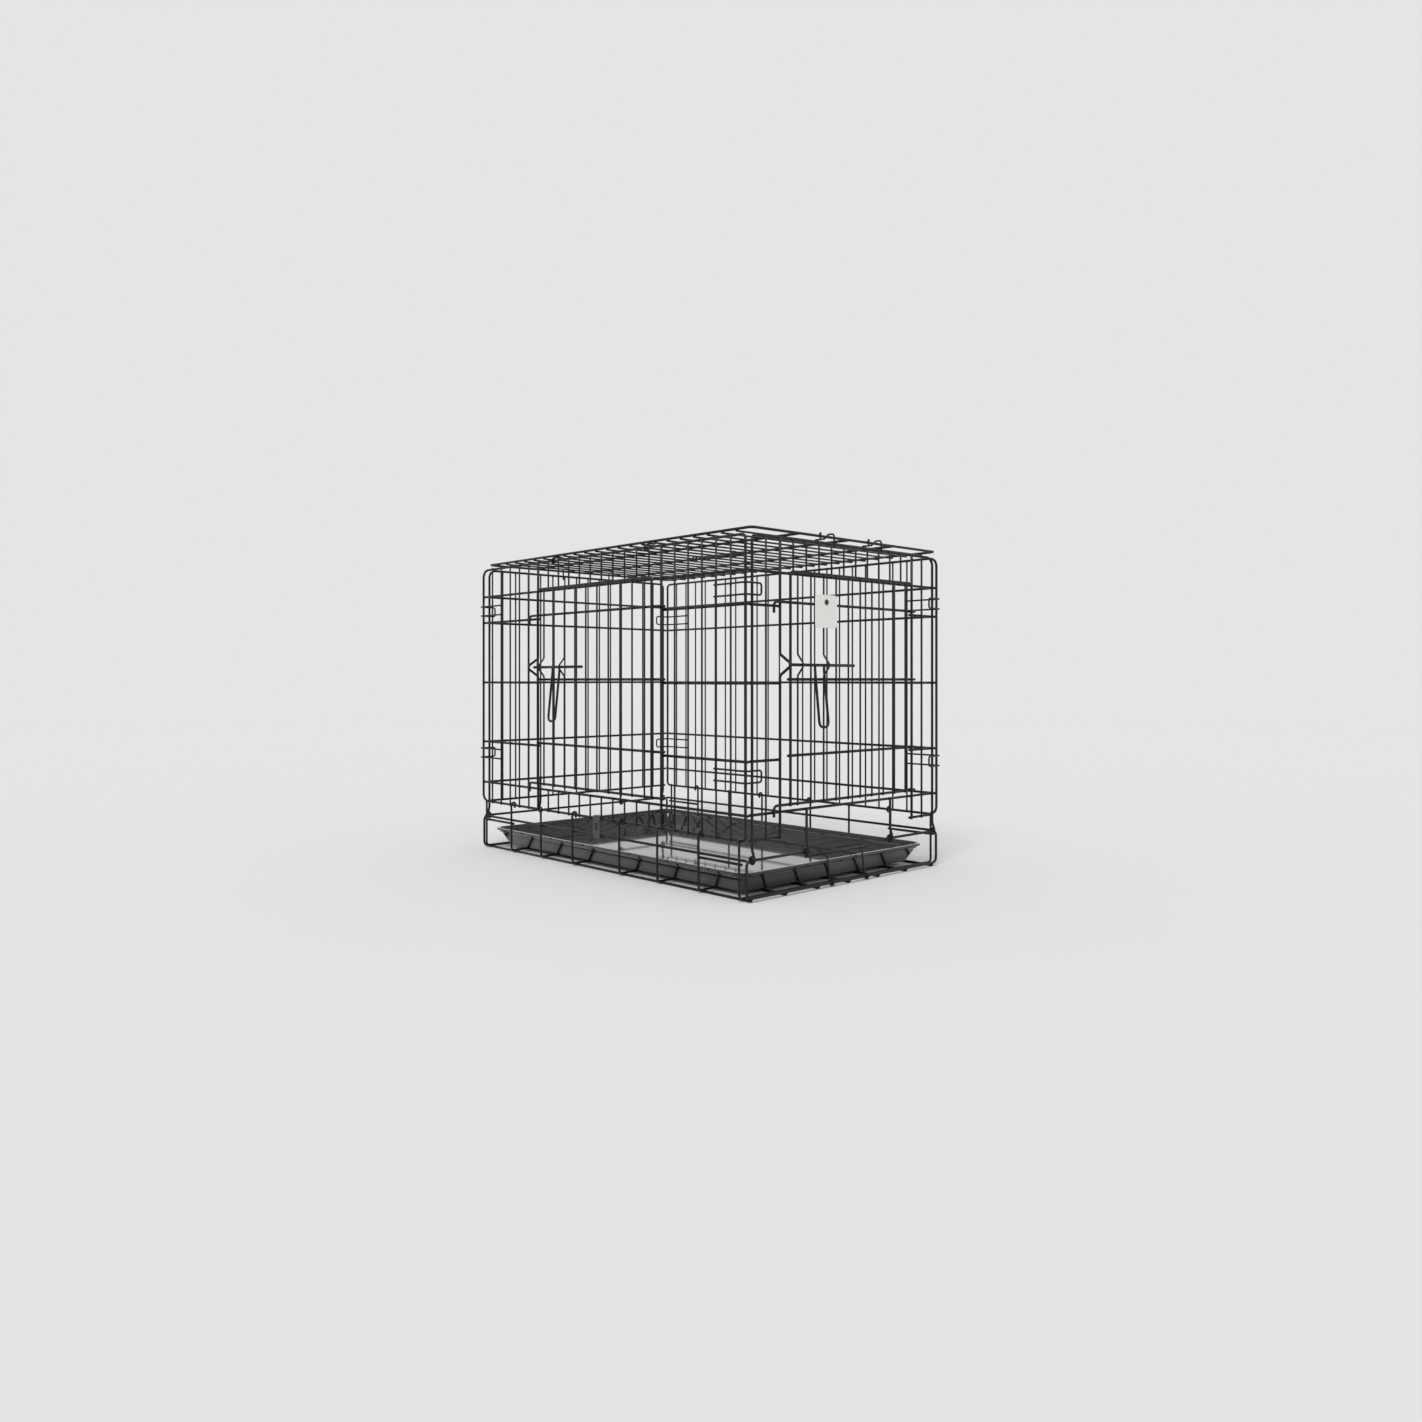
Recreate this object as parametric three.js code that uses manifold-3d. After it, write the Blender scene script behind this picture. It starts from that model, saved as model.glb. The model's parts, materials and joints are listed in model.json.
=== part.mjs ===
// Folding wire pet crate: two side grilles on a welded base, two end grilles that fold inwards,
// a hinged roof, two grille doors with slide-bolt latches, a pull-out tray and its stop gate.
// Millimetres, +Z up. The front end faces -Y and the side with the second door faces -X.
import * as THREE from 'three';
import { mergeVertices } from 'three/addons/utils/BufferGeometryUtils.js';
import Module from 'manifold-3d';

const wasm = await Module();
wasm.setup();

// Overall grid: the wire spacing along the sides sets the length and the width.
const pitch = 33.13;
const sideGapCount = 23;
const endGapCount = 15;
const cornerInset = 13.5;

// Wires.
const fineWire = 3.2;
const frameWire = 4.6;
const boltWire = 5;
const handleWire = 4.4;
const runningClearance = 0.7;
const seatGap = 0.3;
const rowGap = 0.3;
const weldBite = 0.8;
const bendSwell = 0.3;

// Heights of the wires above the floor. The roof and the header are set out from the panels' top
// rail, and what a doorway's height carries is placed by its share of it.
const panelTop = 568;
const roofRise = 14;
const headerDrop = 55;
const rowShares = [0.219, 0.5383, 0.8602];
const sillHeight = 134;
const hingeRailHeight = 95;
const baseMidHeight = 65;
const frontWireHeight = 7;

// Doorways, counted in wires from the near front corner, and the doors in them.
const frontDoorwayCounts = { latch: 2, hinge: 13 };
const sideDoorwayCounts = { latch: 17, hinge: 6 };
const guideWires = [1, 3];
const doorRowLift = 6;
const doorBottomLift = 12;
const doorTopLift = 2;
const doorEdgeInset = 13.5;
const stopHookReach = 20;
const stopHookDrop = 18;

// Latches.
const boltHeightShare = 0.61478;
const boltLength = 155;
const boltTipGap = 9;
const bumpHalfHeight = 17;
const bumpFlatHalfHeight = 6;
const bumpBend = 4;
const handleWidth = 22;
const handleDrop = 100;
const handleLean = 10;
const handleStop = 6.5;
const handleFoot = 6;
const handleBend = 6;

// Base.
const basePostStations = [2.1, 5.2, 8.3, 11.1];
const baseEyeStations = [2.1, 8.3];
const baseCornerReach = 12;
const baseCornerRadius = 6;
const baseDoubleDrop = 7;
const baseLongWireCount = 7;
const baseLongWireShare = 0.475;

// Roof.
const roofInset = 5;
const roofHingeSetback = 10;
const roofRailShares = [-0.25, 0, 0.244];
const roofLoopShare = 0.18;
const roofHookWires = [6, 10];
const roofHookLead = 4;
const roofHookRise = 10;
const roofHookFlat = 3;
const roofHookDrop = 24;

// Front panel stubs above its top rail.
const stubWires = [5, 9];
const stubRise = 3;

// Corner clips.
const clipHeightShares = [0.9464, 0.1831];
const clipSpacing = 18.4;
const clipEndReach = 16;
const clipBendRadius = 5;

// Tray and its gate.
const trayHeight = 34;
const trayWall = 2;
const traySideGap = 4;
const trayEndGap = 14;
const trayFlare = 15;
const trayLedge = 4;
const trayRim = 6;
const trayCornerRadius = 30;
const trayLedgeHeightShare = 0.72;
const gateHeight = 54;
const gateLean = 14.5;
const gateLegPlaces = [6, 8.9];
const gateBarPlaces = [4.4, 9.6];

// Plastic and card pieces.
const gripLength = 120;
const gripDiameter = 9;
const gripOffset = 20;
const gripPlaceShare = -0.06;
const gripArm = 5;
const gripRing = 4;
const strapWidth = 20;
const strapThickness = 2.5;
const strapPlace = -4.6;
const strapLip = 6;
const strapSlotHeight = 14;
const strapSlotWidth = 9;
const tagSize = 54;
const tagThickness = 1;
const tagCornerRadius = 5;
const tagPlace = 5.1;
const tagHeightShare = 0.847;

// Facets: round stretches are cut into this many steps.
const eyeSteps = 8;
const eyeSides = 4;
const bendSteps = 2;
const cornerSteps = 4;
const gripSides = 10;

const black = { color: 0x17181a, roughness: 0.42, metalness: 0.35 };
const blackPlastic = { color: 0x141516, roughness: 0.5, metalness: 0 };
const greyPlastic = { color: 0x4a4c4e, roughness: 0.6, metalness: 0 };
const whiteCard = { color: 0xf0efec, roughness: 0.75, metalness: 0 };

// Sizes that follow from the ones above.
const length = pitch * sideGapCount;
const width = pitch * endGapCount;
const roofTop = panelTop + roofRise;
const headerHeight = panelTop - headerDrop;
const heightAtShare = (share) => sillHeight + share * (headerHeight - sillHeight);
const rowHeights = rowShares.map(heightAtShare);
const clipHeights = clipHeightShares.map(heightAtShare);
const boltHeight = heightAtShare(boltHeightShare);
const tagHeight = heightAtShare(tagHeightShare);
const endWidth = width - cornerInset - cornerInset;
const endPitch = endWidth / endGapCount;
const sidePlane = width / 2 - fineWire / 2;
const endPlane = length / 2 - fineWire / 2;
const frameCorner = frameWire / Math.sqrt(3);
const fineCorner = fineWire / Math.sqrt(3);
const gridPlane = frameWire - rowGap;
const trayFloor = gridPlane + fineWire + seatGap;
const frameCentre = frameWire / 2 - rowGap;
const foldAxis = endPlane + frameCentre;
const sideAxis = sidePlane + frameCentre;
const eyeRadius = (frameCorner + seatGap) / Math.cos(Math.PI / eyeSteps) + fineWire / 2;
const doorPlane = frameWire + runningClearance + frameWire / 2 + rowGap;
const doorFrameFace = doorPlane + frameWire;
const boltOut = doorFrameFace + runningClearance + boltWire / 2;

const X = new THREE.Vector3(1, 0, 0);
const Y = new THREE.Vector3(0, 1, 0);
const Z = new THREE.Vector3(0, 0, 1);
const opposite = (axis) => axis.clone().negate();

const crate = new THREE.Group();

function point(x, y, z) {
  return new THREE.Vector3(x, y, z);
}

// A closed geometry as a manifold solid.
function solid(geometry) {
  const bare = geometry.index ? geometry.toNonIndexed() : geometry.clone();
  bare.deleteAttribute('normal');
  bare.deleteAttribute('uv');
  const merged = mergeVertices(bare);
  return new wasm.Manifold(new wasm.Mesh({
    numProp: 3,
    vertProperties: new Float32Array(merged.attributes.position.array),
    triVerts: new Uint32Array(merged.index.array),
  }));
}

// A named mesh of welded solids, turned by a basis and set down at a place.
function addPiece(name, solids, finish, place, basis = [X, Y, Z]) {
  const joined = wasm.Manifold.union(solids).getMesh();
  const geometry = new THREE.BufferGeometry();
  geometry.setAttribute('position', new THREE.BufferAttribute(joined.vertProperties, 3));
  geometry.setIndex(new THREE.BufferAttribute(joined.triVerts, 1));
  geometry.computeVertexNormals();
  const mesh = new THREE.Mesh(geometry, new THREE.MeshStandardMaterial(finish));
  mesh.name = name;
  mesh.setRotationFromMatrix(new THREE.Matrix4().makeBasis(...basis));
  mesh.position.copy(place);
  crate.add(mesh);
  return mesh;
}

// A wire's section with one flat exactly on zero: six flats on frame wires, four on fine ones.
function wireSection(diameter) {
  const half = diameter / 2;
  const corner = diameter / Math.sqrt(3);
  const points = diameter > fineWire
    ? [[-corner / 2, 0], [corner / 2, 0], [corner, half],
      [corner / 2, diameter], [-corner / 2, diameter], [-corner, half]]
    : [[-half, 0], [half, 0], [half, diameter], [-half, diameter]];
  return new THREE.Shape(points.map(([x, y]) => new THREE.Vector2(x, y)));
}

// Straight wires of a grille sheet. The sheet's crossing plane is y = 0: outer wires lie on its
// negative side and inner wires on its positive side, so crossing wires meet flat to flat.
// Frame uprights stand a row gap further in, and meet the middle rails, which clear the fine ones.
function straightWire(span, diameter, basis, origin) {
  const bar = new THREE.ExtrudeGeometry(wireSection(diameter), { depth: span, bevelEnabled: false });
  bar.applyMatrix4(new THREE.Matrix4().makeBasis(...basis));
  bar.translate(origin.x, origin.y, origin.z);
  return solid(bar);
}

function outerUpright(x, bottom, top, diameter) {
  const lift = diameter > fineWire ? rowGap : 0;
  return straightWire(top - bottom, diameter, [opposite(X), opposite(Y), Z], point(x, lift, bottom));
}

function innerUpright(x, bottom, top, diameter) {
  return straightWire(top - bottom, diameter, [X, Y, Z], point(x, 0, bottom));
}

function innerRail(z, left, right, diameter, lift = 0) {
  return straightWire(right - left, diameter, [opposite(Z), Y, X], point(left, lift, z));
}

function outerRail(z, left, right, diameter) {
  return straightWire(right - left, diameter, [Z, opposite(Y), X], point(left, 0, z));
}

// A path that passes through its stations one by one, for bent wires.
class BentPath extends THREE.Curve {
  constructor(stations) {
    super();
    this.stations = stations;
  }

  getPoint(share, target = new THREE.Vector3()) {
    const place = share * (this.stations.length - 1);
    const index = Math.min(Math.floor(place), this.stations.length - 2);
    return target.lerpVectors(this.stations[index], this.stations[index + 1], place - index);
  }

  getPointAt(share, target) {
    return this.getPoint(share, target);
  }

  getTangentAt(share, target) {
    return this.getTangent(share, target);
  }
}

// Stations along a run of corners, each corner rounded to a bend radius.
function bentStations(corners, radius) {
  const stations = [corners[0]];
  for (let i = 1; i < corners.length - 1; i += 1) {
    const before = corners[i - 1].clone().sub(corners[i]);
    const after = corners[i + 1].clone().sub(corners[i]);
    const reach = Math.min(radius, before.length() / 2, after.length() / 2);
    const into = before.setLength(reach).add(corners[i]);
    const out = after.setLength(reach).add(corners[i]);
    const bend = new THREE.QuadraticBezierCurve3(into, corners[i], out);
    stations.push(...bend.getPoints(bendSteps));
  }
  stations.push(corners[corners.length - 1]);
  return stations;
}

function bentWire(corners, radius, diameter, sideCount = 6) {
  const stations = bentStations(corners, radius);
  const section = new THREE.Shape();
  const reach = diameter / 2 / Math.cos(Math.PI / sideCount);
  for (let side = 0; side < sideCount; side += 1) {
    const turn = (2 * side + 1) * Math.PI / sideCount;
    const point = [reach * Math.cos(turn), reach * Math.sin(turn)];
    if (side === 0) section.moveTo(...point);
    else section.lineTo(...point);
  }
  return solid(new THREE.ExtrudeGeometry(section, {
    steps: stations.length - 1,
    bevelEnabled: false,
    extrudePath: new BentPath(stations),
  }));
}

// A closed eye bent round a neighbour's wire.
function eye(center, axis, diameter = fineWire, radius = eyeRadius) {
  const ring = new THREE.TorusGeometry(radius, diameter / 2, eyeSides, eyeSteps);
  if (axis === X) ring.rotateY(Math.PI / 2);
  if (axis === Y) ring.rotateX(Math.PI / 2);
  ring.translate(center.x, center.y, center.z);
  return solid(ring);
}

// An upright with an outward bump that a bolt slides behind. The bump's flat lies "out" from zero.
function bumpedUpright(x, bottom, top, diameter, out) {
  const low = boltHeight - bumpHalfHeight;
  const high = boltHeight + bumpHalfHeight;
  const centre = (diameter > fineWire ? rowGap : 0) - diameter / 2;
  const straightEnd = low - bumpBend;
  const straightStart = high + bumpBend;
  const corners = [
    point(x, centre, straightEnd - weldBite),
    point(x, centre, low),
    point(x, -out, boltHeight - bumpFlatHalfHeight),
    point(x, -out, boltHeight + bumpFlatHalfHeight),
    point(x, centre, high),
    point(x, centre, straightStart + weldBite),
  ];
  return [
    outerUpright(x, bottom, straightEnd, diameter),
    bentWire(corners, bumpBend, diameter + bendSwell),
    outerUpright(x, straightStart, top, diameter),
  ];
}

const sideX = (wire) => length / 2 - wire * pitch;
const endX = (wire) => wire * endPitch - endWidth / 2;
const keeperOut = boltOut + boltWire / 2 + runningClearance + frameCorner;
const guideOut = keeperOut - frameCorner + fineCorner;

// One upright of a wall: edge wires are frame wires, and a doorway leaves its middle open.
function wallUpright(x, wire, lastWire, bottom, doorway) {
  const solids = [];
  const isEdge = wire === 0 || wire === lastWire;
  const inDoorway = doorway && (wire - doorway.latch) * (wire - doorway.hinge) < 0;
  const bordersDoorway = doorway && (wire === doorway.latch || wire === doorway.hinge);
  const top = panelTop + frameWire / 2;
  const diameter = isEdge || bordersDoorway ? frameWire : fineWire;
  if (inDoorway) {
    solids.push(outerUpright(x, headerHeight - frameWire / 2, top, diameter));
  } else if (doorway && wire === doorway.latch) {
    solids.push(...bumpedUpright(x, bottom, top, diameter, keeperOut + frameCentre));
  } else {
    solids.push(outerUpright(x, bottom, top, diameter));
  }
  return solids;
}

// The rails of a wall. Rows stop at the wires on either side of a doorway.
function wallRails(left, right, heights, doorwaySpan) {
  const solids = [];
  for (const height of heights) {
    const isRow = rowHeights.includes(height);
    const isMiddle = height > hingeRailHeight && height < panelTop;
    if (isRow && doorwaySpan) {
      solids.push(innerRail(height, left, doorwaySpan[0] + frameCorner, frameWire, rowGap));
      solids.push(innerRail(height, doorwaySpan[1] - frameCorner, right, frameWire, rowGap));
    } else {
      solids.push(innerRail(height, left, right, frameWire, isMiddle && !doorwaySpan ? rowGap : 0));
    }
  }
  return solids;
}

const wallHeights = [hingeRailHeight, sillHeight, ...rowHeights, headerHeight, panelTop];

function makeSidePanel(name, basis, place, doorway) {
  const solids = [];
  const bottom = hingeRailHeight - frameWire / 2;
  for (let wire = 0; wire <= sideGapCount; wire += 1) {
    solids.push(...wallUpright(sideX(wire), wire, sideGapCount, bottom, doorway));
    const inDoorway = doorway && wire < doorway.latch && wire > doorway.hinge;
    if (inDoorway) {
      solids.push(outerUpright(sideX(wire), bottom, sillHeight + frameWire / 2, fineWire));
    }
  }
  const span = doorway ? [sideX(doorway.latch), sideX(doorway.hinge)] : null;
  const reach = length / 2 + frameCorner;
  solids.push(...wallRails(-reach, reach, wallHeights, span));
  addPiece(name, solids, black, place, basis);
}

// End panels hang on the base's middle wire by eyes at both edges and beside the doorway.
const foldEyeWires = [0, 4, 11, 15];
const openFrontWires = [4.4, 10.6];

function makeEndPanel(name, basis, place, doorway) {
  const solids = [];
  const railBottom = hingeRailHeight - frameWire / 2;
  for (let wire = 0; wire <= endGapCount; wire += 1) {
    const x = endX(wire);
    const isEyeWire = foldEyeWires.includes(wire);
    const isEdge = wire === 0 || wire === endGapCount;
    if (isEyeWire) {
      const eyeCentre = point(x, -frameCentre, baseMidHeight);
      solids.push(eye(eyeCentre, X));
      const eyeTop = baseMidHeight + eyeRadius;
      const top = isEdge ? panelTop + frameWire / 2 : sillHeight + frameWire / 2;
      solids.push(outerUpright(x, eyeTop, top, frameWire));
    }
    if (!isEdge) {
      const aboveSill = isEyeWire && !doorway;
      const bottom = aboveSill ? sillHeight + frameWire / 2 : railBottom;
      solids.push(...wallUpright(x, wire, endGapCount, bottom, doorway));
    }
    if (doorway && stubWires.includes(wire)) {
      solids.push(outerUpright(x, panelTop, panelTop + frameWire / 2 + stubRise, frameWire));
    }
  }
  const reach = endWidth / 2 + frameCorner;
  const span = doorway ? [endX(doorway.latch), endX(doorway.hinge)] : null;
  const upperHeights = wallHeights.slice(1);
  solids.push(...wallRails(-reach, reach, upperHeights, span));
  if (doorway) {
    const innerEnds = [endX(doorway.latch) + frameCorner, endX(doorway.hinge) - frameCorner];
    solids.push(innerRail(hingeRailHeight, -reach, innerEnds[0], frameWire));
    solids.push(innerRail(hingeRailHeight, innerEnds[1], reach, frameWire));
  } else {
    solids.push(innerRail(hingeRailHeight, -reach, reach, frameWire));
  }
  addPiece(name, solids, black, place, basis);
}

// A door: fine uprights outside, rails inside. The latch is on the left and the eyes on the right.
function makeDoor(name, basis, place, latchX, hingeX, gap) {
  const solids = [];
  const rails = rowHeights.map((height) => height + doorRowLift);
  const bottomRail = sillHeight + doorBottomLift;
  const topRail = headerHeight + doorTopLift;
  const left = latchX + doorEdgeInset;
  const right = hingeX - doorEdgeInset;
  const bottom = bottomRail - frameWire / 2;
  const doorWireCount = Math.round((hingeX - latchX) / gap) - 1;
  const topJoint = topRail - frameWire / 4;
  for (let wire = 1; wire <= doorWireCount; wire += 1) {
    const x = latchX + wire * gap;
    if (guideWires.includes(wire)) {
      solids.push(...bumpedUpright(x, bottom, topJoint, fineWire, guideOut - doorPlane));
    } else {
      solids.push(outerUpright(x, bottom, topJoint, fineWire));
    }
  }
  solids.push(outerUpright(left, bottom, topRail, frameWire));
  solids.push(outerUpright(right, bottom, topRail, frameWire));
  solids.push(outerRail(topRail, left - frameCorner, right + frameCorner, frameWire));
  for (const height of [bottomRail, ...rails]) {
    const hasHook = height === bottomRail || height === rails[rails.length - 1];
    const start = hasHook ? latchX - stopHookReach : left - frameCorner;
    const lift = height === bottomRail ? 0 : rowGap;
    solids.push(innerRail(height, start, hingeX, frameWire, lift));
    solids.push(eye(point(hingeX, doorPlane, height), Z));
    if (hasHook) {
      solids.push(innerUpright(start, height - stopHookDrop, height + frameCorner, frameWire));
    }
  }
  addPiece(name, solids, black, place, basis);
}

// A latch: the round bolt, and the loop handle that hangs from it.
function makeLatch(boltName, handleName, basis, plane, latchX, gap) {
  const rod = new THREE.CylinderGeometry(boltWire / 2, boltWire / 2, boltLength, gripSides);
  rod.rotateZ(Math.PI / 2);
  rod.translate(latchX + boltTipGap + boltLength / 2, 0, 0);
  addPiece(boltName, [solid(rod)], black, plane, basis);
  const legTop = -boltWire / 2 - seatGap;
  const right = latchX + guideWires[1] * gap - handleStop;
  const left = right - handleWidth;
  const corners = [
    point(left, 0, legTop),
    point(left, 0, legTop - handleFoot),
    point(left, -handleLean, -handleDrop),
    point(right, -handleLean, -handleDrop),
    point(right, 0, legTop - handleFoot),
    point(right, 0, legTop),
  ];
  addPiece(handleName, [bentWire(corners, handleBend, handleWire)], black, plane, basis);
}

const nearBasis = [opposite(Y), X, Z];
const farBasis = [Y, opposite(X), Z];
const frontBasis = [X, Y, Z];
const backBasis = [opposite(X), opposite(Y), Z];
const roofBasis = [Y, Z, X];

makeSidePanel('near_side_panel', nearBasis, point(-sidePlane, 0, 0), sideDoorwayCounts);
makeSidePanel('far_side_panel', farBasis, point(sidePlane, 0, 0), null);
makeEndPanel('front_panel', frontBasis, point(0, -endPlane, 0), frontDoorwayCounts);
makeEndPanel('back_panel', backBasis, point(0, endPlane, 0), null);

const frontLatchX = endX(frontDoorwayCounts.latch);
const frontHingeX = endX(frontDoorwayCounts.hinge);
const sideLatchX = sideX(sideDoorwayCounts.latch);
const sideHingeX = sideX(sideDoorwayCounts.hinge);
makeDoor('front_door', frontBasis, point(0, -foldAxis - doorPlane, 0),
  frontLatchX, frontHingeX, endPitch);
makeDoor('side_door', nearBasis, point(-sideAxis - doorPlane, 0, 0),
  sideLatchX, sideHingeX, pitch);
makeLatch('front_bolt', 'front_bolt_handle', frontBasis,
  point(0, -foldAxis - boltOut, boltHeight), frontLatchX, endPitch);
makeLatch('side_bolt', 'side_bolt_handle', nearBasis,
  point(-sideAxis - boltOut, 0, boltHeight), sideLatchX, pitch);

// Base: grid under the tray, two post-and-rail sides, and the wires of the two ends.
const floorCorner = frameCorner + seatGap;

function makeFloorGrid() {
  const solids = [];
  const halfLong = foldAxis - floorCorner;
  const halfCross = sidePlane - seatGap;
  for (let wire = 0; wire < baseLongWireCount; wire += 1) {
    const share = (2 * wire / (baseLongWireCount - 1) - 1) * baseLongWireShare;
    solids.push(outerUpright(share * width, -halfLong, halfLong, frameWire));
  }
  for (const station of basePostStations) {
    for (const end of [-1, 1]) {
      solids.push(innerRail(end * station * pitch, -halfCross, halfCross, fineWire));
    }
  }
  addPiece('base_floor_grid', solids, black, point(0, 0, gridPlane), [X, Z, opposite(Y)]);
}

function makeBaseSide(name, basis, place) {
  const solids = [];
  const halfRail = foldAxis - floorCorner;
  const eyeCentre = frameWire / 2 + rowGap + seatGap;
  solids.push(innerRail(baseMidHeight, -halfRail, halfRail, frameWire));
  for (const end of [-1, 1]) {
    for (const station of basePostStations) {
      const x = end * station * pitch;
      solids.push(outerUpright(x, 0, hingeRailHeight, frameWire));
      if (baseEyeStations.includes(station)) {
        solids.push(eye(point(x, eyeCentre, hingeRailHeight), X));
      }
    }
    const outer = basePostStations.slice(-2).map((station) => end * station * pitch);
    const left = Math.min(...outer) - frameCorner;
    const right = Math.max(...outer) + frameCorner;
    solids.push(innerRail(baseMidHeight - baseDoubleDrop, left, right, frameWire));
  }
  addPiece(name, solids, black, place, basis);
}

// An end of the base: a floor wire turned up at both corners under a middle wire, all on the fold
// axis. At the front the middle wire is open between the two inner eyes, where the gate stands.
function makeBaseEnd(name, basis, place, floorHeight, openWires) {
  const corner = endWidth / 2 + baseCornerReach;
  const postTop = baseMidHeight - frameWire / 4;
  const solids = [bentWire([
    point(-corner, 0, postTop),
    point(-corner, 0, floorHeight),
    point(corner, 0, floorHeight),
    point(corner, 0, postTop),
  ], baseCornerRadius, frameWire + bendSwell)];
  const outer = corner + frameWire / 2;
  const spans = openWires
    ? [[-outer, endX(openWires[0])], [endX(openWires[1]), outer]]
    : [[-outer, outer]];
  for (const [left, right] of spans) {
    const ends = [point(left, 0, baseMidHeight), point(right, 0, baseMidHeight)];
    solids.push(bentWire(ends, baseCornerRadius, frameWire));
  }
  addPiece(name, solids, black, place, basis);
}

// Roof: thick rails along the length above, fine cross wires below. Its near edge stands back from
// the hinge line, so that the roof can lie upside down beside the crate.
function makeRoof() {
  const solids = [];
  const halfLength = length / 2 - roofInset;
  const halfWidth = sidePlane - frameWire / 2;
  const nearEdge = roofHingeSetback - halfWidth;
  const nearEnd = nearEdge - frameCorner;
  const farEnd = halfWidth + frameCorner;
  for (const share of roofRailShares) {
    solids.push(innerRail(share * width, -halfLength, halfLength, frameWire, rowGap));
  }
  for (const edge of [nearEdge, halfWidth]) {
    solids.push(innerRail(edge, -halfLength - frameCorner, halfLength + frameCorner, frameWire));
  }
  for (const end of [-1, 1]) {
    solids.push(innerUpright(end * halfLength, nearEnd, farEnd, frameWire));
  }
  for (let wire = 1; wire < sideGapCount; wire += 1) {
    solids.push(outerUpright(sideX(wire), nearEnd, farEnd, fineWire));
  }
  addPiece('roof_panel', solids, black, point(0, 0, roofTop - frameWire), roofBasis);
}

// A hinge loop of the roof: an eye round the near side's top rail, on an arm to the roof's edge.
function makeRoofLoop(name, share) {
  const x = share * length;
  const hingeLine = frameWire / 2 - sidePlane;
  const armEnd = hingeLine + roofHingeSetback - frameCorner - seatGap;
  const eyeHeight = panelTop + frameWire - roofTop;
  const loop = eye(point(x, eyeHeight, hingeLine), X);
  const arm = bentWire([
    point(x, eyeHeight + eyeRadius - weldBite, hingeLine),
    point(x, frameWire / 2, hingeLine),
    point(x, frameWire / 2, armEnd),
  ], bumpBend, fineWire);
  addPiece(name, [loop, arm], black, point(0, 0, roofTop - frameWire), roofBasis);
}

// Hooks that start on the roof's last cross wire, arch over its end rail and reach down outside an
// end panel's top rail.
function makeRoofHook(name, x, end) {
  const low = roofTop - frameWire + seatGap + fineCorner;
  const over = roofTop + seatGap + fineCorner;
  const outer = foldAxis + frameCorner + runningClearance + fineCorner;
  const rail = length / 2 - roofInset;
  const hook = bentWire([
    point(x, end * (sideX(1) - roofHookLead), low),
    point(x, end * (rail - roofHookRise - roofHookFlat - frameCorner), low),
    point(x, end * (rail - roofHookFlat - frameCorner), over),
    point(x, end * outer, over),
    point(x, end * outer, over - roofHookDrop),
  ], clipBendRadius, fineWire);
  addPiece(name, [hook], black, point(0, 0, 0));
}

// A corner clip: a U of fine wire on the side panel's outside that wraps round the end panel.
function makeClip(name, sideSign, endSign, height) {
  const outX = sideSign * (sidePlane + frameWire + seatGap + fineWire / 2);
  const outY = endSign * (endPlane + frameWire + seatGap + fineWire / 2);
  const startY = endSign * (length / 2 - pitch - pitch);
  const tipX = sideSign * (width / 2 - cornerInset - clipEndReach);
  const low = height - clipSpacing;
  const clip = bentWire([
    point(outX, startY, height),
    point(outX, outY, height),
    point(tipX, outY, height),
    point(tipX, outY, low),
    point(outX, outY, low),
    point(outX, startY, low),
  ], clipBendRadius, fineWire, 4);
  addPiece(name, [clip], black, point(0, 0, 0));
}

// The gate in front of the tray: a top bar on two leaning legs with eyes round the front floor wire.
function makeGate() {
  const solids = [];
  const rise = gateHeight - frontWireHeight;
  const legTop = point(0, gateLean, rise);
  const legFoot = legTop.clone().setLength(eyeRadius);
  const [left, right] = gateBarPlaces.map(endX);
  solids.push(bentWire([
    point(left, gateLean, rise),
    point(right, gateLean, rise),
  ], bumpBend, frameWire));
  for (const place of gateLegPlaces) {
    const x = endX(place);
    solids.push(bentWire([
      point(x, legFoot.y, legFoot.z),
      point(x, legTop.y, legTop.z),
    ], bumpBend, fineWire));
    solids.push(eye(point(x, 0, 0), X));
  }
  addPiece('tray_gate', solids, black, point(0, -foldAxis, frontWireHeight));
}

// A closed loft through rings of a rounded rectangle. A profile point is an inset and a height.
function roundedLoft(halfX, halfY, cornerRadius, profile) {
  const positions = [];
  const ringSize = 4 * (cornerSteps + 1);
  const cornerSigns = [[1, 1], [-1, 1], [-1, -1], [1, -1]];
  for (const [inset, height] of profile) {
    const radius = cornerRadius - inset;
    cornerSigns.forEach(([signX, signY], quarter) => {
      for (let step = 0; step <= cornerSteps; step += 1) {
        const turn = (quarter + step / cornerSteps) * Math.PI / 2;
        const x = signX * (halfX - cornerRadius) + radius * Math.cos(turn);
        const y = signY * (halfY - cornerRadius) + radius * Math.sin(turn);
        positions.push(x, y, height);
      }
    });
  }
  const index = [];
  for (let ring = 0; ring < profile.length - 1; ring += 1) {
    for (let side = 0; side < ringSize; side += 1) {
      const next = (side + 1) % ringSize;
      const low = ring * ringSize;
      const high = low + ringSize;
      index.push(low + side, low + next, high + next, low + side, high + next, high + side);
    }
  }
  const last = (profile.length - 1) * ringSize;
  for (let side = 1; side < ringSize - 1; side += 1) {
    index.push(0, side + 1, side);
    index.push(last, last + side, last + side + 1);
  }
  const loft = new THREE.BufferGeometry();
  loft.setAttribute('position', new THREE.Float32BufferAttribute(positions, 3));
  loft.setIndex(index);
  return loft;
}

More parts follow.
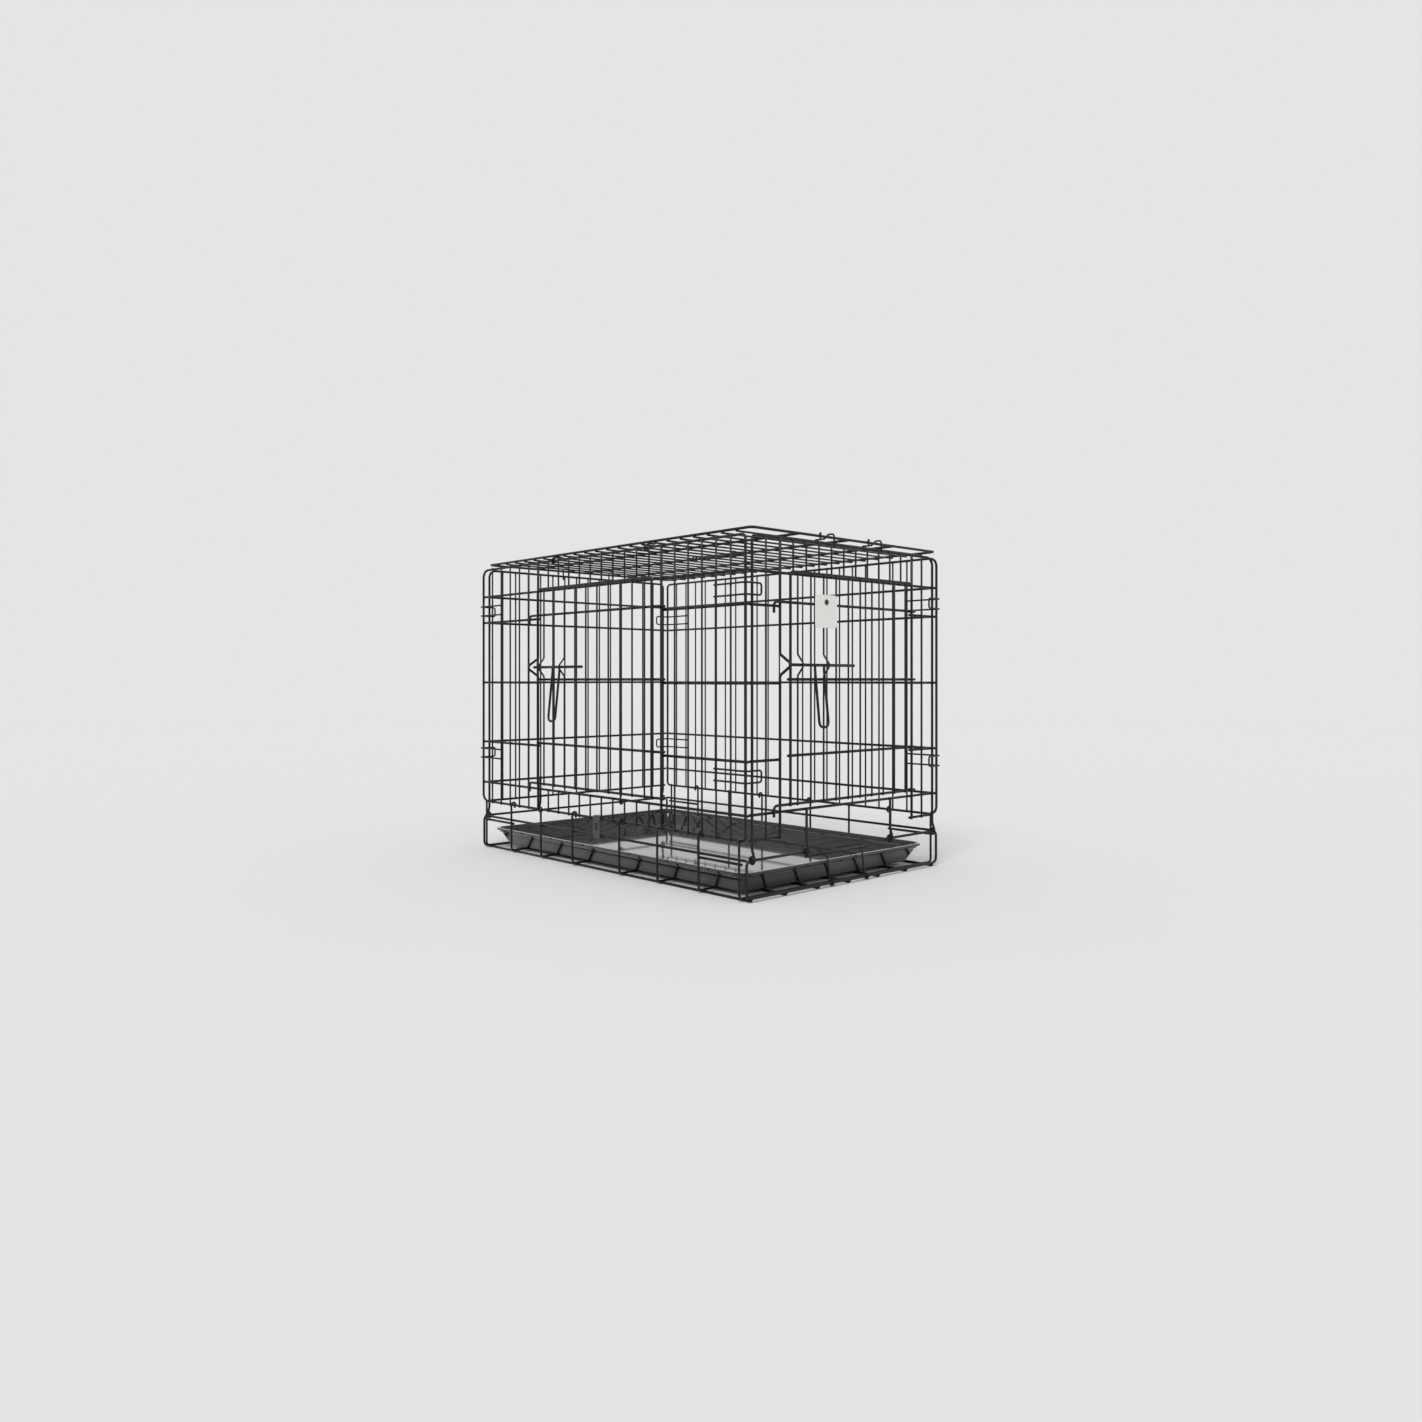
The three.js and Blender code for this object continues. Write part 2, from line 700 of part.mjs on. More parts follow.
// Tray: flared walls, a ledge under the rim, and a turned-down rim.
function makeTray() {
  const halfX = sidePlane - frameWire - traySideGap;
  const halfY = endPlane - trayEndGap;
  const ledge = trayHeight * trayLedgeHeightShare;
  const ledgeInset = trayRim + trayLedge;
  const footInset = ledgeInset + trayFlare;
  const top = trayHeight;
  const profile = [
    [footInset, 0],
    [ledgeInset, ledge],
    [trayRim, ledge + trayWall],
    [trayRim - trayWall / 2, top - trayWall - trayWall],
    [0, top - trayWall - trayWall],
    [0, top],
    [trayRim, top],
    [trayRim + trayWall, ledge + trayWall],
    [ledgeInset + trayWall, ledge],
    [footInset + trayWall / 2, trayWall],
  ];
  const shell = roundedLoft(halfX, halfY, trayCornerRadius + footInset, profile);
  addPiece('tray', [solid(shell)], blackPlastic, point(0, 0, trayFloor));
}

// Carry handle: a grip on two arms whose eyes turn on the roof's middle rail.
function makeCarryHandle() {
  const grip = new THREE.CylinderGeometry(gripDiameter / 2, gripDiameter / 2, gripLength, gripSides);
  const restHeight = gripDiameter / 2 + seatGap - rowGap - frameWire / 2;
  grip.translate(gripOffset, 0, restHeight);
  const solids = [solid(grip)];
  const armPlace = gripLength / 2 - gripArm;
  const ringRadius = (frameCorner + seatGap) / Math.cos(Math.PI / eyeSteps) + gripRing / 2;
  for (const end of [-1, 1]) {
    solids.push(eye(point(0, end * armPlace, 0), Y, gripRing, ringRadius));
    solids.push(bentWire([
      point(ringRadius, end * armPlace, 0),
      point(gripOffset, end * armPlace, restHeight),
    ], bumpBend, gripRing));
  }
  const place = point(0, gripPlaceShare * length, roofTop - frameWire / 2 + rowGap);
  addPiece('carry_handle', solids, blackPlastic, place);
}

// A plastic strap hooked over the hinge rail and under the middle wire of the near side.
function makeRailStrap() {
  const near = -frameWire / 2 - seatGap - rowGap - seatGap;
  const far = frameCorner + seatGap;
  const outer = near - strapThickness;
  const back = far + strapThickness;
  const top = hingeRailHeight + frameCorner + seatGap;
  const bottom = baseMidHeight - frameCorner - seatGap;
  const outline = [
    [outer, bottom - strapThickness], [back, bottom - strapThickness], [back, bottom + strapLip],
    [far, bottom + strapLip], [far, bottom], [near, bottom], [near, top], [far, top],
    [far, top - strapLip], [back, top - strapLip], [back, top + strapThickness],
    [outer, top + strapThickness],
  ];
  const shape = new THREE.Shape(outline.map(([y, z]) => new THREE.Vector2(y, z)));
  const strap = new THREE.ExtrudeGeometry(shape, { depth: strapWidth, bevelEnabled: false });
  strap.applyMatrix4(new THREE.Matrix4().makeBasis(Y, Z, X));
  strap.translate(-strapWidth / 2, 0, 0);
  const slot = new THREE.BoxGeometry(strapSlotWidth, strapWidth, strapSlotHeight);
  slot.translate(0, outer - strapWidth / 2 + strapThickness + seatGap / 2, (bottom + top) / 2);
  const cut = solid(strap).subtract(solid(slot));
  addPiece('rail_strap', [cut], greyPlastic, point(-sidePlane + frameWire / 2, strapPlace, 0), nearBasis);
}

// A bare card tied flat on the front door.
function makeTag() {
  const half = tagSize / 2;
  const reach = half - tagCornerRadius;
  const shape = new THREE.Shape();
  shape.absarc(reach, reach, tagCornerRadius, 0, Math.PI / 2);
  shape.absarc(-reach, reach, tagCornerRadius, Math.PI / 2, Math.PI);
  shape.absarc(-reach, -reach, tagCornerRadius, Math.PI, 3 * Math.PI / 2);
  shape.absarc(reach, -reach, tagCornerRadius, 3 * Math.PI / 2, 2 * Math.PI);
  const card = new THREE.ExtrudeGeometry(shape, {
    depth: tagThickness, bevelEnabled: false, curveSegments: cornerSteps,
  });
  card.applyMatrix4(new THREE.Matrix4().makeBasis(X, Z, opposite(Y)));
  const face = -foldAxis - doorPlane - fineWire - seatGap;
  addPiece('blank_tag', [solid(card)], whiteCard, point(endX(tagPlace), face, tagHeight));
}

makeFloorGrid();
const basePlane = sidePlane + rowGap + seatGap;
const backWireHeight = (frameWire + bendSwell) / Math.sqrt(3);
makeBaseSide('base_near_rail', nearBasis, point(-basePlane, 0, 0));
makeBaseSide('base_far_rail', farBasis, point(basePlane, 0, 0));
makeBaseEnd('base_front_wire', frontBasis, point(0, -foldAxis, 0), frontWireHeight, openFrontWires);
makeBaseEnd('base_back_wire', backBasis, point(0, foldAxis, 0), backWireHeight, null);
makeRoof();
for (const [endName, end] of [['front', -1], ['back', 1]]) {
  makeRoofLoop(`roof_loop_${endName}`, end * roofLoopShare);
  roofHookWires.forEach((wire, i) => makeRoofHook(`roof_hook_${endName}_${i + 1}`, endX(wire), end));
  for (const [sideName, side] of [['near', -1], ['far', 1]]) {
    clipHeights.forEach((height, i) => {
      const level = i === 0 ? 'upper' : 'lower';
      makeClip(`corner_clip_${endName}_${sideName}_${level}`, side, end, height);
    });
  }
}
makeGate();
makeTray();
makeCarryHandle();
makeRailStrap();
makeTag();

// The origin is the middle of the footprint at floor level.
const extent = new THREE.Box3().setFromObject(crate, true);
const middle = extent.getCenter(point(0, 0, 0));
crate.position.set(-middle.x, -middle.y, -extent.min.z);
crate.updateMatrixWorld(true);

export default crate;
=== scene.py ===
import json
import math

import bmesh
import bpy
from bpy.props import FloatProperty, FloatVectorProperty, IntProperty, IntVectorProperty, PointerProperty
from bpy.types import Operator, Panel, PropertyGroup
from mathutils import Matrix, Vector


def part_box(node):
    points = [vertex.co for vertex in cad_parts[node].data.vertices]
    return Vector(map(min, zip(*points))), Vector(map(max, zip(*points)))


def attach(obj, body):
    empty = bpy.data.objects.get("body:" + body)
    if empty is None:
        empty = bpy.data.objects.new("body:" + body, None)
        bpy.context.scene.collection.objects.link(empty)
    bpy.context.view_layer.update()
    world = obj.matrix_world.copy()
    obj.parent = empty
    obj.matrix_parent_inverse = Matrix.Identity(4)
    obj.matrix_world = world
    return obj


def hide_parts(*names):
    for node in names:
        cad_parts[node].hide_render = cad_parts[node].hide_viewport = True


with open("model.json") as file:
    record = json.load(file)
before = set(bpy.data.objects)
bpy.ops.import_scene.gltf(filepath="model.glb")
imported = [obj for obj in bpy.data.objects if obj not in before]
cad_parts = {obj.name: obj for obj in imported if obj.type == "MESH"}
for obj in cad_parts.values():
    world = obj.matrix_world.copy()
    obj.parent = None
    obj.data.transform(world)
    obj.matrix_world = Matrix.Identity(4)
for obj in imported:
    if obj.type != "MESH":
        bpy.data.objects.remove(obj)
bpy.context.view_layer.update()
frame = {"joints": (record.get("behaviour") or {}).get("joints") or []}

bl_info = {
    "name": "Folding Wire Crate",
    "version": (1, 0, 0),
    "blender": (4, 5, 0),
    "location": "3D View > Sidebar > Crate",
    "description": "Builds a folding wire pet crate round its packed frame",
    "category": "Object",
}

X = Vector((1, 0, 0))
Y = Vector((0, 1, 0))
Z = Vector((0, 0, 1))

JOINTS = {joint["name"]: joint for joint in frame["joints"]}


def joint_place(name):
    """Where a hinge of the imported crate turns."""
    return Vector(JOINTS[name]["pos_m"])


# Lines that every piece is set out from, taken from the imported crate.
CENTRE = Vector((joint_place("front_fold").x, joint_place("roof_swing").y, 0))
FOLD_LINE = CENTRE.y - joint_place("front_fold").y
SIDE_LINE = CENTRE.x - joint_place("side_door_swing").x
TOP_RAIL_HEIGHT = joint_place("roof_swing").z
BASE_MIDDLE_HEIGHT = joint_place("front_fold").z
GRIP_LINE = joint_place("grip_swing")
GATE_LINE = joint_place("gate_swing")
BOLT_LINE = joint_place("front_loop_turn")
SIDE_BOLT_LINE = joint_place("side_loop_turn")


def distance(label, text, default, high=2.0):
    """A length that a user may change."""
    return FloatProperty(
        name=label, description=text, default=default, min=0.0, max=high, unit="LENGTH", precision=5
    )


class CrateWires(PropertyGroup):
    fine: distance("Fine wire", "Diameter of the uprights and cross wires", 0.0032)
    frame: distance("Frame wire", "Diameter of the rails and edge wires", 0.0046)
    bolt: distance("Bolt wire", "Diameter of a slide bolt", 0.005)
    loop: distance("Loop wire", "Diameter of a latch's loop", 0.0044)
    sink: distance("Weld sink", "How far each crossing wire sinks into the weld plane", 0.0003)
    weld: distance("Weld size", "Radius of the flash round a weld", 0.0027)
    weld_height: distance("Weld height", "Half height of the flash across the weld plane", 0.0013)
    sides: IntProperty(name="Sides", description="Faces round a wire", default=12, min=6, max=32)


class CrateWalls(PropertyGroup):
    spacing: distance("Wire spacing", "Spacing of the side uprights", 0.03313)
    side_gaps: IntProperty(name="Side gaps", description="Gaps along a side", default=23, min=2)
    end_gaps: IntProperty(name="End gaps", description="Gaps across an end", default=15, min=2)
    corner_inset: distance("Corner inset", "How far an end grille stands in from the sides", 0.0135)
    corner_bend: distance("Corner bend", "Radius of a wall's rounded corners", 0.014)
    overhang: distance("Overhang", "How far a wire runs past its last weld", 0.0028)
    header: distance("Header height", "Rail above a doorway", 0.513)
    rows: FloatVectorProperty(
        name="Row heights", description="Middle rails", default=(0.217, 0.338, 0.460), unit="LENGTH"
    )
    sill: distance("Sill height", "Rail below a doorway", 0.134)
    hinge_rail: distance("Hinge rail height", "Lowest rail of a wall", 0.095)
    front_doorway: IntVectorProperty(
        name="Front doorway", description="Latch and hinge wires", size=2, default=(2, 13)
    )
    side_doorway: IntVectorProperty(
        name="Side doorway", description="Latch and hinge wires", size=2, default=(17, 6)
    )
    fold_eyes: IntVectorProperty(
        name="Fold eyes", description="End wires that turn round the base", size=4, default=(0, 4, 11, 15)
    )


class CrateDoors(PropertyGroup):
    plane: distance("Door plane", "From the hinge line out to the door's weld plane", 0.0079)
    row_lift: distance("Row lift", "Door rails stand above the wall's rows", 0.006)
    bottom_lift: distance("Bottom lift", "Bottom rail above the sill", 0.012)
    top_lift: distance("Top lift", "Top rail above the header", 0.002)
    edge_inset: distance("Edge inset", "Door edge wire from its doorway wire", 0.0135)
    hook_reach: distance("Hook reach", "Stop hooks past the doorway wire", 0.020)
    hook_drop: distance("Hook drop", "Length of a stop hook's tip", 0.018)
    hook_bend: distance("Hook bend", "Radius of a stop hook", 0.008)
    bump_half: distance("Bump half height", "Half height of a bolt bump", 0.017)
    bump_flat: distance("Bump flat", "Half height of a bump's top", 0.003)
    bump_bend: distance("Bump bend", "Radius of a bump's bends", 0.006)
    guides: IntVectorProperty(
        name="Guide wires", description="Door wires with a bump", size=2, default=(1, 3)
    )
    clearance: distance("Clearance", "Room round a sliding bolt", 0.0007)


class CrateLatch(PropertyGroup):
    length: distance("Bolt length", "Length of a slide bolt", 0.155)
    tip_gap: distance("Tip gap", "Bolt tip from the doorway wire when withdrawn", 0.009)
    loop_width: distance("Loop width", "Width of a latch's loop", 0.022)
    loop_drop: distance("Loop drop", "How far a loop hangs down", 0.100)
    loop_lean: distance("Loop lean", "How far a loop's foot stands out", 0.010)
    loop_stop: distance("Loop stop", "Loop from the inner guide", 0.0065)
    loop_neck: distance("Loop neck", "Half gap of the loop's legs at the bolt", 0.0085)


class CrateBase(PropertyGroup):
    posts: FloatVectorProperty(
        name="Posts", description="Posts from the middle, in wire spacings", size=4,
        default=(2.1, 5.2, 8.3, 11.1),
    )
    eyes: IntVectorProperty(
        name="Eyes", description="Posts that carry an eye", size=2, default=(0, 2)
    )
    post_bend: distance("Post bend", "Radius where a post turns under the tray", 0.008)
    post_thinner: distance("Post thinner", "How much thinner a post is than a frame wire", 0.0005)
    cross_height: distance("Cross wire height", "Middle of the wires under the tray", 0.0059)
    double_drop: distance("Double wire", "Second wire under the middle wire", 0.007)
    corner_reach: distance("Corner reach", "End wires beyond the end grille", 0.012)
    corner_bend: distance("Corner bend", "Radius of the end wires' corners", 0.011)
    long_wires: IntProperty(name="Long wires", description="Floor wires along the crate", default=7)
    long_share: FloatProperty(
        name="Long wire share", description="Outermost floor wires, as a share of the width", default=0.475
    )
    open_front: FloatVectorProperty(
        name="Open front", description="Gate opening, in end gaps", size=2, default=(4.4, 10.6)
    )


class CrateRoof(PropertyGroup):
    top: distance("Roof top", "Top of the roof's rails", 0.582)
    inset: distance("Inset", "End rails from the crate's ends", 0.001)
    setback: distance("Setback", "Near rail from the hinge line", 0.010)
    corner_bend: distance("Corner bend", "Radius of the roof's corners", 0.009)
    rails: FloatVectorProperty(
        name="Rails", description="Middle rails, as shares of the width", default=(-0.25, 0.0, 0.244)
    )
    loop_share: FloatProperty(
        name="Loop share", description="Hinge loops, as a share of the length", default=0.18
    )
    hook_wires: IntVectorProperty(
        name="Hook wires", description="End wires under the roof hooks", size=2, default=(6, 10)
    )
    stub_wires: IntVectorProperty(
        name="Stub wires", description="End wires with a stub", size=2, default=(5, 9)
    )
    hook_drop: distance("Hook drop", "How far a roof hook reaches down", 0.024)
    hook_bend: distance("Hook bend", "Radius of a roof hook", 0.006)
    hook_lead: distance("Hook lead", "Hook's foot inside the last cross wire", 0.004)
    hook_rise: distance("Hook rise", "Where a hook starts to rise, from the end rail", 0.01472)
    hook_crest: distance("Hook crest", "Where a hook is over the rail, from the end rail", 0.00644)
    hook_stand: distance("Hook stand", "Hooks beyond the end grilles' rails", 0.00272)


class CrateClips(PropertyGroup):
    heights: FloatVectorProperty(
        name="Heights", description="Upper wire of each clip", size=2, default=(0.4927, 0.2034), unit="LENGTH"
    )
    spacing: distance("Spacing", "Between a clip's two wires", 0.0184)
    reach: distance("Reach", "Clip round the end grille's edge", 0.016)
    bend: distance("Bend", "Radius of a clip's bends", 0.005)
    ease: distance("Ease", "Where a clip has come out to the corner, from the edge wire", 0.012)


class CrateGate(PropertyGroup):
    height: distance("Height", "Top bar above the floor", 0.054)
    lean: distance("Lean", "Top bar behind its hinge", 0.0145)
    legs: FloatVectorProperty(
        name="Legs", description="Legs, in end gaps", size=2, default=(6.0, 8.9)
    )
    bar: FloatVectorProperty(
        name="Bar ends", description="Ends of the bar, in end gaps", size=2, default=(4.4, 9.6)
    )
    knee_out: distance("Knee out", "How far a leg's knee stands off its eye", 0.0012)
    knee_height: distance("Knee height", "Knee above the hinge", 0.009)


class CrateTray(PropertyGroup):
    wall: distance("Wall", "Thickness of the tray", 0.002)
    rim: distance("Rim", "Width of the tray's rim", 0.006)
    ledge: distance("Ledge", "Width of the ledge under the rim", 0.004)
    flare: distance("Flare", "How far the walls lean out", 0.015)
    ledge_share: FloatProperty(
        name="Ledge height", description="Ledge height as a share of the tray's", default=0.72
    )
    corner: distance("Corner radius", "Radius of the tray's corners at the rim", 0.026)
    steps: IntProperty(name="Corner steps", description="Faces round a corner", default=12, min=3)
    channel: distance("Channel", "Depth of the groove round the tray's floor", 0.0008)
    channel_place: distance("Channel place", "Groove from the foot of the walls", 0.014)
    channel_slope: distance("Channel slope", "Width of the groove's slopes", 0.002)
    channel_width: distance("Channel width", "Width of the groove's bed", 0.006)
    floor_ring: distance("Floor ring", "Last ring of the floor, from the foot of the walls", 0.06)


class CrateGrip(PropertyGroup):
    length: distance("Length", "Length of the carry handle", 0.120)
    radius: distance("Radius", "Thickest radius of the grip", 0.0047)
    offset: distance("Offset", "Grip from its hinge rail", 0.020)
    arm: distance("Arm", "Arm from the grip's end", 0.005)
    ring: distance("Ring", "Diameter of the ring's section", 0.004)
    waves: IntProperty(name="Finger grooves", description="Grooves along the grip", default=4)
    wave_depth: distance("Groove depth", "Depth of a finger groove", 0.0009)
    plain_end: FloatProperty(
        name="Plain ends", description="Share of the half length before them", default=0.82
    )
    arm_bend: distance("Arm bend", "Radius of an arm's bend", 0.004)
    collar: distance("Collar", "Half length of a collar", 0.004)
    collar_edge: distance("Collar edge", "Chamfer on a collar", 0.0005)


class CrateStrap(PropertyGroup):
    width: distance("Width", "Width of the strap", 0.020)
    thickness: distance("Thickness", "Thickness of the strap", 0.0025)
    lip: distance("Lip", "Length of the strap's lips", 0.006)
    slot_width: distance("Slot width", "Width of the strap's slot", 0.009)
    slot_height: distance("Slot height", "Height of the strap's slot", 0.014)
    bevel: distance("Edge", "Radius of the strap's edges", 0.0007)


class CrateTag(PropertyGroup):
    size: distance("Size", "Side of the bare tag", 0.054)
    thickness: distance("Thickness", "Thickness of the tag", 0.001)
    corner: distance("Corner radius", "Radius of the tag's corners", 0.005)
    place: FloatProperty(name="Place", description="Across the front, in end gaps", default=5.1)
    hole: distance("Hole", "Radius of the tag's hole", 0.0026)
    hole_lift: distance("Hole lift", "Hole above the tag's middle", 0.015)
    edge: distance("Edge", "Easing of the tag's edges", 0.0003)
    tie: distance("Tie", "Radius of the tie's thread", 0.0011)


class CrateFinish(PropertyGroup):
    coat: FloatVectorProperty(
        name="Powder coat", description="Black coating of the wires", subtype="COLOR",
        default=(0.005, 0.005, 0.0055),
    )
    coat_worn: FloatVectorProperty(
        name="Coat, thin places", description="Slightly greyer coating", subtype="COLOR",
        default=(0.012, 0.012, 0.013),
    )
    tray: FloatVectorProperty(
        name="Tray plastic", description="Black moulded plastic", subtype="COLOR",
        default=(0.009, 0.009, 0.010),
    )
    grip: FloatVectorProperty(
        name="Grip plastic", description="Black handle plastic", subtype="COLOR",
        default=(0.013, 0.013, 0.014),
    )
    strap: FloatVectorProperty(
        name="Strap plastic", description="Grey strap plastic", subtype="COLOR",
        default=(0.036, 0.037, 0.038),
    )
    card: FloatVectorProperty(
        name="Tag", description="White tag", subtype="COLOR", default=(0.83, 0.82, 0.80)
    )
    grain: distance("Grain", "Size of the coating's finest bumps", 0.0007)


class CrateStage(PropertyGroup):
    backdrop: FloatVectorProperty(
        name="Backdrop", description="Pale grey all round", subtype="COLOR", default=(0.783, 0.783, 0.783)
    )
    camera: FloatVectorProperty(
        name="Camera place", description="Where the photograph was taken from", subtype="XYZ", unit="LENGTH",
        default=(-1.388, -1.5264, 0.343),
    )
    azimuth: FloatProperty(
        name="Azimuth", description="Direction the camera looks in", subtype="ANGLE",
        default=math.radians(-43),
    )
    lens: FloatProperty(name="Lens", description="Focal length in millimetres", default=26.96)
    shift: FloatProperty(name="Shift", description="Upward shift of the view", default=-0.0218)
    ambient: FloatProperty(name="Ambient", description="Strength of the light from all round", default=0.62)
    key: FloatProperty(name="Key", description="Strength of the soft key light", default=1.55)
    key_spread: FloatProperty(
        name="Key spread", description="Angle that the key light fills", subtype="ANGLE",
        default=math.radians(24),
    )
    key_turn: FloatVectorProperty(
        name="Key turn", description="Direction of the key light", subtype="EULER",
        default=(math.radians(34), math.radians(-22), math.radians(-30)),
    )
    floor: distance("Floor", "Half length of the floor", 30.0, 100.0)
    fade: FloatVectorProperty(
        name="Fade", description="Where the floor starts and ends to fade", size=2, unit="LENGTH",
        default=(3.0, 9.0),
    )


GROUPS = {
    "crate_wires": CrateWires,
    "crate_walls": CrateWalls,
    "crate_doors": CrateDoors,
    "crate_latch": CrateLatch,
    "crate_base": CrateBase,
    "crate_roof": CrateRoof,
    "crate_clips": CrateClips,
    "crate_gate": CrateGate,
    "crate_tray": CrateTray,
    "crate_grip": CrateGrip,
    "crate_strap": CrateStrap,
    "crate_tag": CrateTag,
    "crate_finish": CrateFinish,
    "crate_stage": CrateStage,
}


def settings(name):
    """One group of the crate's settings."""
    return getattr(bpy.context.scene, "crate_" + name)


# Axes of each wall: along it, inwards across it, and up.
NEAR = Matrix(((0, 1, 0), (-1, 0, 0), (0, 0, 1)))
FAR = Matrix(((0, -1, 0), (1, 0, 0), (0, 0, 1)))
FRONT = Matrix(((1, 0, 0), (0, 1, 0), (0, 0, 1)))
BACK = Matrix(((-1, 0, 0), (0, -1, 0), (0, 0, 1)))
ROOF = Matrix(((0, 0, 1), (1, 0, 0), (0, 1, 0)))


def side_length():
    """Length over the side wires' middles."""
    walls = settings("walls")
    return walls.spacing * walls.side_gaps


def side_place(wire):
    """Where a side wire stands along its wall."""
    return side_length() / 2 - wire * settings("walls").spacing


def end_gap():
    """Spacing of the end uprights."""
    walls = settings("walls")
    return walls.spacing - 2 * walls.corner_inset / walls.end_gaps


def end_place(wire):
    """Where an end wire stands across its wall."""
    return (wire - settings("walls").end_gaps / 2) * end_gap()


def frame_middle():
    """From a wall's weld plane to the middle of its frame wires."""
    wires = settings("wires")
    return wires.frame / 2 - wires.sink


def fine_middle():
    """From a wall's weld plane to the middle of its fine wires."""
    wires = settings("wires")
    return wires.fine / 2 - wires.sink


def wall_place(axes):
    """Where a wall's weld plane stands."""
    line = FOLD_LINE if axes in (FRONT, BACK) else SIDE_LINE
    return CENTRE - (axes @ Y) * (line - frame_middle())


def rounded(corners, radius, steps=6, closed=False):
    """Stations along a run of corners, with each corner bent to a radius."""
    points = [Vector(corner) for corner in corners]
    stations = [] if closed else [points[0]]
    count = len(points)
    for i in range(0 if closed else 1, count if closed else count - 1):
        corner = points[i]
        before = points[i - 1] - corner
        after = points[(i + 1) % count] - corner
        turn = math.pi - before.angle(after)
        reach = min(radius * math.tan(turn / 2), before.length * 0.49, after.length * 0.49)
        start = corner + before.normalized() * reach
        end = corner + after.normalized() * reach
        for step in range(steps + 1):
            share = step / steps
            stations.append(start * (1 - share) ** 2 + corner * 2 * share * (1 - share) + end * share ** 2)
    if not closed:
        stations.append(points[-1])
    return stations


def curl(middle, radius, first, last, out, up, steps=20):
    """Stations round a neighbour's wire, from one angle in degrees to another."""
    stations = []
    for step in range(steps + 1):
        turn = math.radians(first + (last - first) * step / steps)
        stations.append(Vector(middle) + (out * math.cos(turn) + up * math.sin(turn)) * radius)
    return stations


class Wirework:
    """Wires and welds of one piece, set out in the axes of a wall."""

    def __init__(self, axes, place):
        self.points = []
        self.edges = []
        self.radii = []
        self.welds = []
        self.stand(axes, place)

    def stand(self, axes, place):
        """Set out what follows in another wall's axes."""
        self.axes = axes
        self.place = Vector(place)

    def _point(self, local, radius, weld=(0, 0, 0)):
        self.points.append(self.place + self.axes @ Vector(local))
        self.radii.append(radius)
        self.welds.append(weld)
        return len(self.points) - 1

    def wire(self, stations, diameter, closed=False, ball=0.0):
        """A wire through its stations, with eased ends or a ball at its last one."""
        radius = diameter / 2
        stations = [Vector(station) for station in stations]
        if closed:
            run = [self._point(station, radius) for station in stations]
            self.edges += [(run[i - 1], run[i]) for i in range(len(run))]
            return
        ease = radius * 0.4
        first = stations[0]
        last = stations[-1]
        inward = (stations[1] - first).normalized() * ease
        back = (stations[-2] - last).normalized() * ease
        run = [self._point(first, radius * 0.62), self._point(first + inward, radius)]
        run += [self._point(station, radius) for station in stations[1:-1]]
        if ball:
            sizes = (radius, ball * 0.7, ball * 0.95, ball, ball * 0.85)
            for share, size in zip((2.1, 1.8, 1.3, 0.9, 0.4), sizes):
                run.append(self._point(last + back.normalized() * ball * share, size))
            run.append(self._point(last, ball * 0.35))
        else:
            run.append(self._point(last + back, radius))
            run.append(self._point(last, radius * 0.62))
        self.edges += list(zip(run, run[1:]))

    def upright(self, along, out, low, high, diameter):
        """A straight upright."""
        self.wire([(along, out, low), (along, out, high)], diameter)

    def rail(self, height, out, left, right, diameter):
        """A straight rail."""
        self.wire([(left, out, height), (right, out, height)], diameter)

    def weld(self, along, height, out=0.0, size=1.0, up_scale=1.0):
        """The flash where two wires cross."""
        wires = settings("wires")
        flat = wires.weld * size
        scale = self.axes @ Vector((flat, wires.weld_height * size, flat * up_scale))
        self._point((along, out, height), 0.0, (abs(scale.x), abs(scale.y), abs(scale.z)))

    def welds_at(self, places, heights):
        """Flash at every crossing of some uprights and rails."""
        for along in places:
            for height in heights:
                self.weld(along, height)


